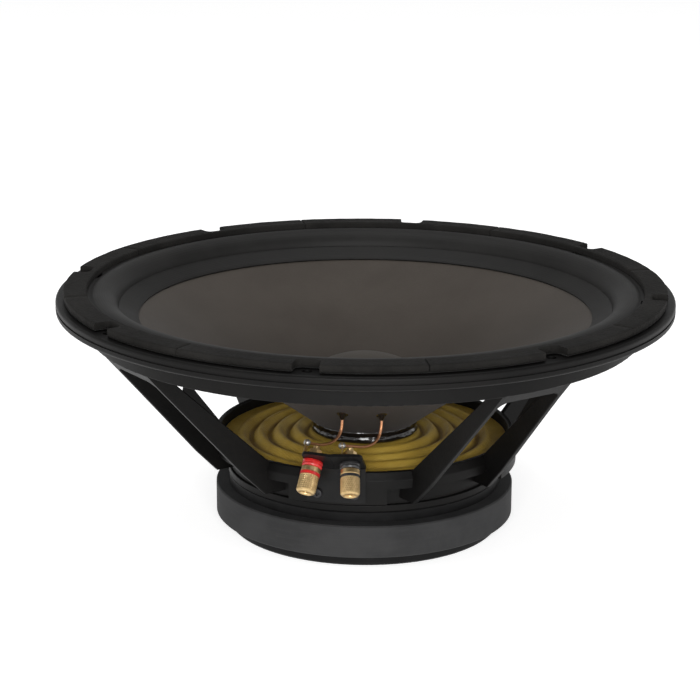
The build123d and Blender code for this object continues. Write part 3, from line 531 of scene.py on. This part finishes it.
def dust_cap_line():
    seat = cone_height(CAP_RADIUS, CONE_THICKNESS / 2) + CAP_SKIN / 2
    dome = (CAP_RADIUS**2 + CAP_RISE**2) / (2 * CAP_RISE)
    centre = seat + CAP_RISE - dome - CAP_SKIN / 2
    edge = asin(CAP_RADIUS / dome)
    return [(dome * sin(edge * k / 24), centre + dome * cos(edge * k / 24)) for k in range(25)]


def domed(name, line, thickness, steps):
    """A dome with a closed crown: its line runs from the axis outwards."""
    inner = [(r, z - thickness / 2) for r, z in line]
    outer = [(r, z + thickness / 2) for r, z in line]
    azimuths = even_turn(steps)[:-1]
    made = bmesh.new()
    rings = []
    for skin in (outer, inner):
        crown = made.verts.new((0, 0, skin[0][1]))
        stack = [[made.verts.new((r * sin(a), -r * cos(a), z)) for a in azimuths] for r, z in skin[1:]]
        rings.append((crown, stack))
    for (crown, stack), upwards in zip(rings, (True, False)):
        for k in range(steps):
            after = (k + 1) % steps
            cap = (crown, stack[0][k], stack[0][after])
            made.faces.new(cap if upwards else cap[::-1])
            for near, far in zip(stack, stack[1:]):
                quad = (near[k], far[k], far[after], near[after])
                made.faces.new(quad if upwards else quad[::-1])
    top, bottom = rings[0][1][-1], rings[1][1][-1]
    for k in range(steps):
        after = (k + 1) % steps
        made.faces.new((top[k], bottom[k], bottom[after], top[after]))
    mesh = bpy.data.meshes.new(name)
    made.to_mesh(mesh)
    made.free()
    return link_mesh(name, mesh)


dust_cap = domed("domed_dust_cap", dust_cap_line(), CAP_SKIN, 96)
coated_pulp("pressed_cap_pulp", (0.051, 0.043, 0.034), (0.042, 0.035, 0.028)).cover(dust_cap)
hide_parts("dust_cap")
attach(dust_cap, "cone")

cement_radius = CAP_RADIUS + 0.0006
cement_height = cone_height(cement_radius, CONE_THICKNESS / 2)


def cement_wander(r, z, a):
    drift = noise.noise(Vector((9 * sin(a), 9 * cos(a), 0)))
    return r + 0.0004 * drift, z + 0.0002 * drift


cement_profile = [(cement_radius + CEMENT * cos(a), cement_height + CEMENT * 0.8 * sin(a))
                  for a in (k * pi / 5 for k in range(10))]
cement = revolved("dust_cap_cement", cement_profile, even_turn(160), cement_wander)


def wet_adhesive(name, base, brown):
    finish = Finish(name, Roughness=0.12, Coat_Weight=0.6, Coat_Roughness=0.06, IOR=1.5)
    lumps = finish.grain(420.0, 4.0, 0.6)
    skin = finish.grain(90.0, 3.0)
    finish.put("Base Color", finish.mix(skin.ramp(0.4, 0.7), base, brown))
    finish.put("Roughness", 0.10 + 0.30 * skin.ramp(0.45, 0.8))
    finish.bump(lumps + skin * 2.0, 0.0005, 0.8)
    return finish


wet_adhesive("dust_cap_cement", (0.020, 0.018, 0.016), (0.030, 0.026, 0.022)).cover(cement)
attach(cement, "cone")


# ------------------------------------------------------------------ adhesive round the neck
# Black rubbery cement, run by hand round the joint of spider, former and cone.  It sets glossy,
# in uneven lumps with a ragged lower edge.
def neck_bead_profile():
    low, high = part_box("neck_bead")
    outer = high.x
    foot = low.z + 0.0001
    top = cone_height(outer - 0.0005, -CONE_THICKNESS / 2) - 0.0002
    inside = [(NECK_BORE + 0.0002, foot), (outer - 0.0022, foot)]
    face = [(outer - 0.0008, foot + 0.0006), (outer - 0.0002, foot + 0.0016), (outer - 0.0004, foot + 0.003),
            (outer - 0.0010, foot + 0.0045), (outer - 0.0007, top - 0.0022), (outer - 0.0004, top - 0.0010)]
    shoulder = NECK_POINT[0] + 0.0012
    back = [(outer - 0.0006, top - 0.0002), (shoulder, cone_height(shoulder, -CONE_THICKNESS / 2) - 0.0004),
            (NECK_BORE + 0.0002, NECK_POINT[1] - 0.0055)]
    return inside + face + back


def lumpy(r, z, a):
    """Sinks the open face unevenly, so that it never passes the bead's real size."""
    if r < NECK_BORE + 0.006:
        return r, z
    at = Vector((r * sin(a), -r * cos(a), z))
    broad = noise.noise(at * 190.0)
    fine = noise.noise(at * 520.0 + Vector((3, 1, 7)))
    sink = 0.0011 * (0.5 - 0.5 * broad) + 0.0006 * (0.5 - 0.5 * fine)
    return r - sink, z + 0.0003 * fine


def refined(profile, parts):
    """Each run of a closed profile split into equal parts."""
    points = []
    for k, (r, z) in enumerate(profile):
        after = profile[(k + 1) % len(profile)]
        points += [(r + (after[0] - r) * j / parts, z + (after[1] - z) * j / parts) for j in range(parts)]
    return points


neck_bead = revolved("neck_adhesive", refined(neck_bead_profile(), 3), even_turn(220), lumpy)
neck_bead.data.set_sharp_from_angle(angle=radians(85))
wet_adhesive("neck_adhesive", (0.006, 0.005, 0.005), (0.016, 0.011, 0.008)).cover(neck_bead)
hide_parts("neck_bead")
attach(neck_bead, "cone")


# ------------------------------------------------------------------ voice coil
# Brown polyimide film rolled into a tube, with enamelled copper wire wound on its lower end in
# close turns.  It hangs in the gap between pole and top plate.
WIRE_PITCH = 0.00042


def former_film():
    finish = Finish("polyimide_film", Roughness=0.35, Coat_Weight=0.3)
    cloud = finish.grain(120.0, 3.0)
    finish.put("Base Color", finish.mix(cloud, (0.19, 0.085, 0.020), (0.13, 0.055, 0.014)))
    finish.bump(cloud, 0.0001, 0.4)
    return finish


def wound_copper():
    finish = Finish("enamelled_copper", Metallic=0.9, Roughness=0.3)
    _, _, z = finish.axes()
    turns = (z * (2 * pi / WIRE_PITCH)).sine().size()
    tarnish = finish.grain(300.0, 3.0)
    finish.put("Base Color", finish.mix(tarnish, (0.50, 0.17, 0.07), (0.34, 0.10, 0.04)))
    finish.bump(turns, 0.00015, 0.9)
    return finish


former_film().cover(frame["nodes"]["voice_coil_former"])
wound_copper().cover(frame["nodes"]["voice_coil_winding"])


# ------------------------------------------------------------------ surround
# Butyl rubber, compression moulded into one half roll with two flat lips.  The inner lip is glued
# on the cone's land and the outer one on the flange, cut back to a bay round each screw hole.
RUBBER = 0.0013
ROLL_OUTER = 0.174
ROLL_CREST = 0.15495
LIP_EDGE = 0.1905
FLANGE_TOP = 0.1529
SCREW_PITCH = radians(45.0)
BAY_HALF_WIDTH = 0.0075
BAY_BACK = 0.181
BAY_CORNER = 0.004
LIP_ROOT = 0.1785
LIP_CUT_FROM = LIP_ROOT + 0.004
CORNER_STATIONS = [radians(d) for d in (0.6, 1.1, 1.5, 1.85, 2.1, 2.26, 2.34, 2.368, 2.376)]


def bay_limit(azimuth, full):
    """How far out a strip may reach where the nearest screw bay is cut into it."""
    off = abs((azimuth + SCREW_PITCH / 2) % SCREW_PITCH - SCREW_PITCH / 2)
    sideways = BAY_BACK * tan(off)
    if sideways >= BAY_HALF_WIDTH:
        return full
    into_corner = max(sideways - (BAY_HALF_WIDTH - BAY_CORNER), 0.0)
    return (BAY_BACK + BAY_CORNER - sqrt(BAY_CORNER**2 - into_corner**2)) / cos(off)


def bay_azimuths(k):
    """Stations over half a screw pitch, close together round the bay's corner."""
    from_screw = [0.0] + CORNER_STATIONS + [SCREW_PITCH / 2 * j / 10 for j in range(2, 11)]
    if k % 2 == 0:
        return [k * SCREW_PITCH / 2 + d for d in from_screw]
    return [(k + 1) * SCREW_PITCH / 2 - d for d in reversed(from_screw)]


def arc_through(start, top, end, steps):
    """Points on the circle through three points, from start over top to end."""
    (ax, ay), (bx, by), (cx, cy) = start, top, end
    d = 2 * (ax * (by - cy) + bx * (cy - ay) + cx * (ay - by))
    a, b, c = ax * ax + ay * ay, bx * bx + by * by, cx * cx + cy * cy
    ox = (a * (by - cy) + b * (cy - ay) + c * (ay - by)) / d
    oy = (a * (cx - bx) + b * (ax - cx) + c * (bx - ax)) / d
    first, last = atan2(ay - oy, ax - ox), atan2(cy - oy, cx - ox)
    radius = hypot(ax - ox, ay - oy)
    turns = [first + (last - first) * k / steps for k in range(steps + 1)]
    return [(ox + radius * cos(turn), oy + radius * sin(turn)) for turn in turns]


def surround_line():
    lift = CONE_THICKNESS / 2 + RUBBER / 2
    land = CONE_LAND / cos(EDGE_LEAN)
    lip = [on_land(land * k / 4, lift) for k in range(4)]
    foot = on_land(land - 0.0006, lift)
    outer = (ROLL_OUTER, FLANGE_TOP + RUBBER / 2)
    crest = ((foot[0] + outer[0]) / 2, ROLL_CREST)
    roll = arc_through(foot, crest, outer, 26)
    level = FLANGE_TOP + RUBBER / 2
    return lip + roll + [(0.1755, level), (LIP_ROOT, level), (0.184, level), (LIP_EDGE, level)]


def moulded_rubber():
    finish = Finish("moulded_rubber", Specular_IOR_Level=0.22)
    radius = finish.radius()
    bloom = finish.grain(26.0, 4.0)
    fine = finish.grain(1400.0, 3.0)
    dust = finish.grain(520.0, 5.0, 0.8).ramp(0.62, 0.78) * bloom.ramp(0.4, 0.7)
    mould_rings = (radius * 4200.0).sine()
    base = finish.mix(bloom.ramp(0.3, 0.7), (0.0075, 0.0072, 0.0068), (0.0125, 0.0120, 0.0113))
    finish.put("Base Color", finish.mix(dust * 0.4, base, (0.055, 0.052, 0.048)))
    finish.put("Roughness", 0.46 + 0.22 * bloom + 0.1 * dust)
    finish.bump(fine * 0.6 + mould_rings * 0.25 + bloom, 0.00012, 0.5)
    return finish


def cut_bays(r, z, a):
    """Draws the outer lip in behind the nearest screw bay."""
    if r > LIP_CUT_FROM:
        r = r - LIP_EDGE + min(LIP_EDGE, bay_limit(a, LIP_EDGE))
    return r, z


flexing_sectors(
    "surround_sector", thick_line(surround_line(), RUBBER), bay_azimuths,
    moulded_rubber(), "surround", cut_bays,
)


# ------------------------------------------------------------------ gasket
# Eight arcs of dense black foam, die-cut with a bay for each screw and stuck over the surround's
# outer lip.  The cut edges are soft, the skin is finely crinkled, and the seams stand open a hair.
GASKET_INNER = 0.1763
GASKET_OUTER = 0.191
GASKET_SOFTNESS = 0.0009
GASKET_END = 0.00028
GASKET_WIDTH = GASKET_OUTER - GASKET_INNER
BAY_CLEAR = radians(3.5)
SEAM_SHIFTS = (-1.6, -1.4, 0.0, 3.0, 1.6, 2.7, 0.0, -1.9)  # degrees, after each segment


def gasket_profile(low, high):
    inner, outer, soft = GASKET_INNER, GASKET_OUTER, GASKET_SOFTNESS
    face = [(outer - soft - (outer - inner - 2 * soft) * k / 5, high) for k in range(6)]
    outer_side = [(outer - 0.0002, low), (outer, low + 0.0003), (outer, high - soft),
                  (outer - 0.3 * soft, high - 0.3 * soft)]
    inner_side = [(inner + 0.3 * soft, high - 0.3 * soft), (inner, high - soft), (inner, low)]
    return outer_side + face + inner_side


def crinkled_foam():
    finish = Finish("crinkled_foam", Specular_IOR_Level=0.12)
    pores = {"Vector": finish.place, "Scale": 620.0}
    cells = finish.node("ShaderNodeTexVoronoi", {"feature": "F1"}, pores, "Distance")
    crinkle = finish.grain(380.0, 5.0, 0.7)
    cloud = finish.grain(30.0, 4.0)
    lint = finish.grain(1100.0, 4.0, 0.8).ramp(0.66, 0.8)
    base = finish.mix(cloud.ramp(0.3, 0.7), (0.0085, 0.0080, 0.0073), (0.0150, 0.0141, 0.0130))
    finish.put("Base Color", finish.mix(lint * 0.25, base, (0.07, 0.07, 0.07)))
    finish.put("Roughness", 0.72 + 0.2 * crinkle)
    finish.bump(crinkle * 1.2 + cells * 0.7, 0.0004, 0.7)
    return finish


def foam_segment(number, foam):
    low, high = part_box(f"gasket_segment_{number}")
    middle = (number - 1) * SCREW_PITCH
    end = GASKET_END / GASKET_OUTER
    first = middle - SCREW_PITCH / 2 + radians(SEAM_SHIFTS[number - 2]) + end
    last = middle + SCREW_PITCH / 2 + radians(SEAM_SHIFTS[number - 1]) - end

    def soften(r, z, a):
        """Cuts the bay, rounds the two ends and lets the top settle unevenly."""
        if r > GASKET_OUTER - 0.002:
            r += bay_limit(a, GASKET_OUTER) - GASKET_OUTER
        elif r > GASKET_INNER + GASKET_SOFTNESS + 0.001:
            r = GASKET_INNER + (r - GASKET_INNER) * (bay_limit(a, GASKET_OUTER) - GASKET_INNER) / GASKET_WIDTH
        if z > low.z + 0.001:
            z -= 0.00016 * (1 + noise.noise(Vector((30 * sin(a), 30 * cos(a), 40 * r))))
        if min(a - first, last - a) < 1e-6 and z > low.z + 0.002:
            z -= 0.0004
        return r, z

    stations = [first] + even_turn(15, first + 1.5 * end, middle - BAY_CLEAR)
    stations += [middle - d for d in reversed(CORNER_STATIONS)] + [middle]
    stations += [middle + d for d in CORNER_STATIONS]
    stations += even_turn(15, middle + BAY_CLEAR, last - 1.5 * end) + [last]
    segment = revolved(f"foam_gasket_{number}", gasket_profile(low.z, high.z), stations, soften)
    foam.cover(segment)
    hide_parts(f"gasket_segment_{number}")
    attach(segment, "frame")


gasket_foam = crinkled_foam()
for number in range(1, 9):
    foam_segment(number, gasket_foam)


# ------------------------------------------------------------------ screws
# Cross-recess pan heads in black zinc: eight hold the basket down on the top plate, out of sight
# under the spider, and two hold the terminal bracket on the hub.
def black_zinc():
    finish = Finish("black_zinc", Metallic=0.75)
    cloud = finish.grain(700.0, 4.0)
    wear = finish.grain(1500.0, 4.0, 0.8).ramp(0.6, 0.75)
    base = finish.mix(cloud, (0.02, 0.02, 0.022), (0.045, 0.044, 0.046))
    finish.put("Base Color", finish.mix(wear * 0.4, base, (0.14, 0.135, 0.13)))
    finish.put("Roughness", 0.28 + 0.3 * cloud)
    finish.bump(cloud, 0.00008, 0.5)
    return finish


black_zinc().cover(frame["nodes"]["basket_screws"], frame["nodes"]["bracket_screws"])


# ------------------------------------------------------------------ terminal bracket
# Steel plate, blanked, folded and dipped black.  The tab leans outwards and is creased down its
# middle, so that the two posts fan apart; the black wears to grey in fine scratches.
def black_plate():
    finish = Finish("black_dipped_plate", Specular_IOR_Level=0.16)
    cloud = finish.grain(95.0, 5.0)
    brushed = finish.grain(1.0, 4.0, 0.6, finish.stretched(180.0, 1500.0, 1500.0))
    scratch = finish.grain(1.0, 3.0, 0.8, finish.stretched(2600.0, 160.0, 500.0)).ramp(0.68, 0.76)
    base = finish.mix(cloud.ramp(0.3, 0.7), (0.0032, 0.0032, 0.0034), (0.0065, 0.0063, 0.0062))
    finish.put("Base Color", finish.mix(scratch * 0.3, base, (0.03, 0.028, 0.026)))
    finish.put("Roughness", 0.27 + 0.25 * cloud)
    finish.bump(brushed * 0.5 + cloud, 0.00008, 0.5)
    return finish


black_plate().cover(frame["nodes"]["terminal_bracket"])


# ------------------------------------------------------------------ binding posts
# Two gold-flashed brass posts on nylon collars, red and black.  Each has a threaded stud with a
# plug socket in its end, a clamp ring and a knurled cap that screws down on bare wire.
COLLAR_TOP = 0.0042
CAP_FOOT = 0.0077
BAND_TOP = 0.0094
CAP_TOP = 0.0206
CAP_BARREL = 0.0059
CAP_NECK = 0.0043
SOCKET_BORE = 0.00306
KNURLS = 30
KNURL_DEPTH = 0.00032
KNURL_PITCH = 0.00124
KNURL_FROM, KNURL_TO = 0.0101, 0.0194
THREAD_PITCH = 0.0007
POST_TURN = 180


def post_frame(colour):
    """Local frame of a post: Z runs out along it from the tab's face, X lies across the tab."""
    turn = next(j for j in frame["joints"] if j["name"] == f"{colour}_cap_turn")
    out = Vector(turn["axis"]).normalized()
    across = Vector((0, 0, 1)).cross(out).normalized()
    up = out.cross(across)
    rows = Matrix((across, up, out)).transposed().to_4x4()
    return Matrix.Translation(Vector(turn["pos_m"])) @ rows


def gold_flash(name, along=None, thread=0.0):
    """Polished brass under a thin gold flash, with darker handling marks."""
    finish = Finish(name, Metallic=1.0)
    cloud = finish.grain(420.0, 4.0)
    smear = finish.grain(160.0, 3.0)
    base = finish.mix(cloud.ramp(0.3, 0.7), (0.72, 0.53, 0.27), (0.56, 0.39, 0.18))
    finish.put("Base Color", finish.mix(smear.ramp(0.55, 0.8) * 0.5, base, (0.34, 0.22, 0.09)))
    finish.put("Roughness", 0.24 + 0.22 * smear)
    height = finish.grain(2400.0, 2.0) * 0.15
    if thread:
        ends = [finish.place, tuple(along)]
        distance = finish.node("ShaderNodeVectorMath", {"operation": "DOT_PRODUCT"}, ends, "Value")
        height = height + (distance * (2 * pi / thread)).sine() * 0.5
    finish.bump(height, 0.00025, 0.7)
    return finish


def nylon(name, light, dark):
    finish = Finish(name, Coat_Weight=0.25, Coat_Roughness=0.2, IOR=1.53)
    flow = finish.grain(240.0, 4.0)
    fine = finish.grain(2200.0, 3.0)
    finish.put("Base Color", finish.mix(flow.ramp(0.3, 0.7), light, dark))
    finish.put("Roughness", 0.26 + 0.2 * flow)
    finish.bump(flow + fine * 0.3, 0.00008, 0.5)
    return finish


def pressed_fibre():
    finish = Finish("pressed_fibre", Roughness=0.8)
    strands = finish.grain(1.0, 4.0, 0.7, finish.stretched(500.0, 2600.0, 1500.0))
    finish.put("Base Color", finish.mix(strands, (0.17, 0.075, 0.028), (0.09, 0.036, 0.014)))
    finish.bump(strands, 0.0002, 0.7)
    return finish


def collar_profile():
    edge, spigot, bore, plate = 0.0062, 0.0034, 0.00205, 0.0018
    return [(bore, -plate), (spigot, -plate), (spigot, 0.0), (edge - 0.0003, 0.0), (edge, 0.0003),
            (edge, 0.0017), (edge - 0.0004, 0.0020), (edge - 0.0004, 0.0023), (edge, 0.0026),
            (edge, COLLAR_TOP - 0.0004), (edge - 0.0004, COLLAR_TOP), (bore, COLLAR_TOP)]


def knurled_cap_profile():
    rows = 40
    knurled = [(CAP_BARREL, KNURL_FROM + (KNURL_TO - KNURL_FROM) * k / rows) for k in range(rows + 1)]
    foot = [(SOCKET_BORE, CAP_FOOT), (CAP_NECK, CAP_FOOT), (CAP_NECK, BAND_TOP),
            (CAP_BARREL - 0.0004, BAND_TOP), (CAP_BARREL - 0.0001, BAND_TOP + 0.0002)]
    end = [(CAP_BARREL - 0.0002, CAP_TOP - 0.0009), (CAP_BARREL - 0.0010, CAP_TOP - 0.0001),
           (CAP_BARREL - 0.0013, CAP_TOP), (SOCKET_BORE + 0.0006, CAP_TOP), (SOCKET_BORE, CAP_TOP - 0.0006)]
    return foot + knurled + end


def sawtooth(value):
    """1 on a ridge, 0 midway between two."""
    return 1 - abs(2 * (value - floor(value)) - 1)


def knurl(r, z, a):
    """Cuts crossed right-hand and left-hand grooves, which leave small pyramids."""
    if r < CAP_BARREL - 1e-6 or not KNURL_FROM - 1e-6 < z < KNURL_TO + 1e-6:
        return r, z
    around = KNURLS * a / (2 * pi)
    along = z / KNURL_PITCH
    peak = min(sawtooth(around + along / 2), sawtooth(around - along / 2))
    return r - KNURL_DEPTH * (1 - min(1.0, 1.6 * peak)), z


def on_post(piece, colour, body, node, finish):
    piece.data.transform(post_frame(colour))
    finish.cover(piece)
    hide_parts(node)
    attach(piece, body)


def solder_blob(colour):
    """A rounded, slightly lumpy blob of solder, slumped a little wider at its foot."""
    low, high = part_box(f"{colour}_solder_joint")
    centre, size = (low + high) / 2, (high - low) / 2
    made = bmesh.new()
    bmesh.ops.create_icosphere(made, subdivisions=4, radius=1.0)
    for vert in made.verts:
        wobble = 0.93 + 0.07 * noise.noise(vert.co * 2.3 + Vector((len(colour), 0, 0)))
        slump = 1 - 0.10 * vert.co.z
        x, y, z = vert.co * wobble
        vert.co = centre + Vector((x * size.x * slump, y * size.y * slump, z * size.z))
    mesh = bpy.data.meshes.new(f"{colour}_solder")
    made.to_mesh(mesh)
    made.free()
    piece = link_mesh(f"{colour}_solder", mesh)
    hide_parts(f"{colour}_solder_joint")
    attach(piece, "frame")
    return piece


def tinned():
    finish = Finish("tin_solder", Metallic=1.0)
    cloud = finish.grain(650.0, 4.0)
    finish.put("Base Color", finish.mix(cloud, (0.60, 0.59, 0.57), (0.38, 0.37, 0.36)))
    finish.put("Roughness", 0.32 + 0.3 * cloud)
    finish.bump(cloud, 0.0003, 0.6)
    return finish


NYLON = {"red": nylon("red_nylon", (0.56, 0.018, 0.016), (0.40, 0.010, 0.010)),
         "black": nylon("black_nylon", (0.014, 0.014, 0.015), (0.024, 0.023, 0.023))}
gold = gold_flash("gold_flash")
fibre = pressed_fibre()
solder = tinned()
for colour in ("red", "black"):
    collar = revolved(f"{colour}_nylon_collar", collar_profile(), even_turn(64))
    on_post(collar, colour, "frame", f"{colour}_insulating_collar", NYLON[colour])
    knurled = revolved(f"{colour}_knurled_barrel", knurled_cap_profile(), even_turn(POST_TURN), knurl)
    on_post(knurled, colour, f"{colour}_cap", f"{colour}_knurled_cap", gold)
    NYLON[colour].cover(frame["nodes"][f"{colour}_cap_band"])
    out = post_frame(colour).to_3x3() @ Vector((0, 0, 1))
    gold_flash(f"{colour}_threaded_gold", out, THREAD_PITCH).cover(frame["nodes"][f"{colour}_post_stud"])
    for name in ("clamp_ring", "hex_nut", "solder_lug"):
        gold.cover(frame["nodes"][f"{colour}_{name}"])
    fibre.cover(frame["nodes"][f"{colour}_back_washer"])
    solder.cover(solder_blob(colour))


# ------------------------------------------------------------------ tinsel leads
# Flat copper tinsel braided round a cotton core.  Each is soldered
# to its lug, dips over the spider and rises to a dab of black cement under the cone.
LEAD_DIAMETER = 0.0018
BRAID_STRANDS = 5
BRAID_LAY = 0.0052
BRAID_STEP = 0.00022
LEAD_ROUTE = {  # in millimetres
    "red": [(-17.126, -96.798, 81.106), (-14.2, -87.5, 77.0), (-9.4, -77.0, 74.2), (-4.9, -68.5, 75.4),
            (-3.0, -62.6, 80.2), (-3.0, -62.6, 86.1)],
    "black": [(5.041, -98.978, 81.317), (9.8, -88.0, 77.6), (14.2, -76.5, 73.8), (18.6, -66.0, 73.6),
              (21.0, -58.6, 78.6), (21.0, -58.6, 85.8)],
}
DAB_RADIUS = 0.0036


def spline_points(name, route):
    """Points along a smooth NURBS line that has the route as its control points."""
    curve = bpy.data.curves.new(name, "CURVE")
    curve.dimensions = "3D"
    curve.resolution_u = 24
    spline = curve.splines.new("NURBS")
    spline.points.add(len(route) - 1)
    for point, place in zip(spline.points, route):
        point.co = (*place, 1.0)
    spline.order_u = 3
    spline.use_endpoint_u = True
    holder = bpy.data.objects.new(name, curve)
    bpy.context.scene.collection.objects.link(holder)
    bpy.context.view_layer.update()
    line = bpy.data.meshes.new_from_object(holder)
    points = [v.co.copy() for v in line.vertices]
    bpy.data.objects.remove(holder)
    return points


def even_points(points, step):
    """The same line, at even steps along it."""
    lengths = [0.0]
    for a, b in zip(points, points[1:]):
        lengths.append(lengths[-1] + (b - a).length)
    count = int(lengths[-1] / step)
    even, k = [], 0
    for j in range(count + 1):
        at = lengths[-1] * j / count
        while k < len(points) - 2 and lengths[k + 1] < at:
            k += 1
        share = (at - lengths[k]) / max(lengths[k + 1] - lengths[k], 1e-9)
        even.append(points[k].lerp(points[k + 1], min(share, 1.0)))
    return even, lengths[-1]


def braided_tube(name, line, step):
    """A tube whose skin rises and falls as two crossed sets of strands."""
    around = 30
    lay = 2 * pi * step / BRAID_LAY * BRAID_STRANDS / 2
    made = bmesh.new()
    side = (line[1] - line[0]).orthogonal().normalized()
    rings = []
    for k, here in enumerate(line):
        ahead = (line[min(k + 1, len(line) - 1)] - line[max(k - 1, 0)]).normalized()
        side = (side - ahead * side.dot(ahead)).normalized()
        across = ahead.cross(side)
        ring = []
        for j in range(around):
            a = 2 * pi * j / around
            strand = max(cos(BRAID_STRANDS * a + lay * k), cos(BRAID_STRANDS * a - lay * k))
            radius = LEAD_DIAMETER / 2 * (0.90 + 0.10 * strand)
            ring.append(made.verts.new(here + (side * cos(a) + across * sin(a)) * radius))
        rings.append(ring)
    for near, far in zip(rings, rings[1:]):
        for j in range(around):
            after = (j + 1) % around
            made.faces.new((near[j], near[after], far[after], far[j]))
    made.faces.new(rings[0][::-1])
    made.faces.new(rings[-1])
    mesh = bpy.data.meshes.new(name)
    made.to_mesh(mesh)
    made.free()
    return link_mesh(name, mesh, radians(60))


def copper_tinsel():
    finish = Finish("copper_tinsel", Metallic=1.0)
    glints = finish.grain(2600.0, 3.0, 0.7)
    cloud = finish.grain(300.0, 3.0)
    base = finish.mix(cloud, (0.78, 0.40, 0.22), (0.52, 0.23, 0.11))
    finish.put("Base Color", finish.mix(glints.ramp(0.55, 0.75), base, (0.30, 0.12, 0.05)))
    finish.put("Roughness", 0.25 + 0.3 * glints)
    finish.bump(glints, 0.0002, 0.8)
    return finish


def under_cone(x, y):
    """Height a little inside the cone's back skin, over a point of the plan."""
    return cone_height(hypot(x, y), -CONE_THICKNESS / 2) + 0.0001


def cement_dab(colour, place, finish):
    """A mound of cement under the cone that swallows the lead's end."""
    made = bmesh.new()
    around, rings = 28, 9
    skins = []
    for hangs in (True, False):
        stack = []
        for k in range(1, rings + 1):
            reach = DAB_RADIUS * k / rings
            ring = []
            for j in range(around):
                a = 2 * pi * j / around
                wander = 1 + 0.18 * noise.noise(Vector((2 * cos(a), 2 * sin(a), place.x * 900)))
                x, y = place.x + reach * wander * cos(a), place.y + reach * wander * sin(a)
                top = under_cone(x, y)
                if hangs:
                    top -= (top - place.z + 0.0005) * (0.5 + 0.5 * cos(pi * k / rings)) ** 1.3 + 0.0001
                ring.append(made.verts.new((x, y, top)))
            stack.append(ring)
        centre_height = place.z - 0.0006 if hangs else under_cone(place.x, place.y)
        centre = made.verts.new((place.x, place.y, centre_height))
        skins.append((centre, stack))
    for (centre, stack), downwards in zip(skins, (True, False)):
        for j in range(around):
            after = (j + 1) % around
            cap = (centre, stack[0][j], stack[0][after])
            made.faces.new(cap[::-1] if downwards else cap)
            for near, far in zip(stack, stack[1:]):
                quad = (near[j], far[j], far[after], near[after])
                made.faces.new(quad[::-1] if downwards else quad)
    low_rim, high_rim = skins[0][1][-1], skins[1][1][-1]
    for j in range(around):
        after = (j + 1) % around
        made.faces.new((low_rim[j], low_rim[after], high_rim[after], high_rim[j]))
    mesh = bpy.data.meshes.new(f"{colour}_cement_dab")
    made.to_mesh(mesh)
    made.free()
    piece = link_mesh(f"{colour}_cement_dab", mesh)
    finish.cover(piece)
    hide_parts(f"{colour}_lead_eyelet")
    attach(piece, "cone")


dab_finish = wet_adhesive("lead_cement", (0.008, 0.007, 0.007), (0.018, 0.014, 0.011))
tinsel = copper_tinsel()
for colour, route in LEAD_ROUTE.items():
    route = [Vector(point) / 1000 for point in route]
    line, length = even_points(spline_points(f"{colour}_route", route), BRAID_STEP)
    lead = braided_tube(f"{colour}_braided_lead", line, BRAID_STEP)
    tinsel.cover(lead)
    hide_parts(f"{colour}_tinsel_lead")
    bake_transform(lead)
    cement_dab(colour, line[-1], dab_finish)
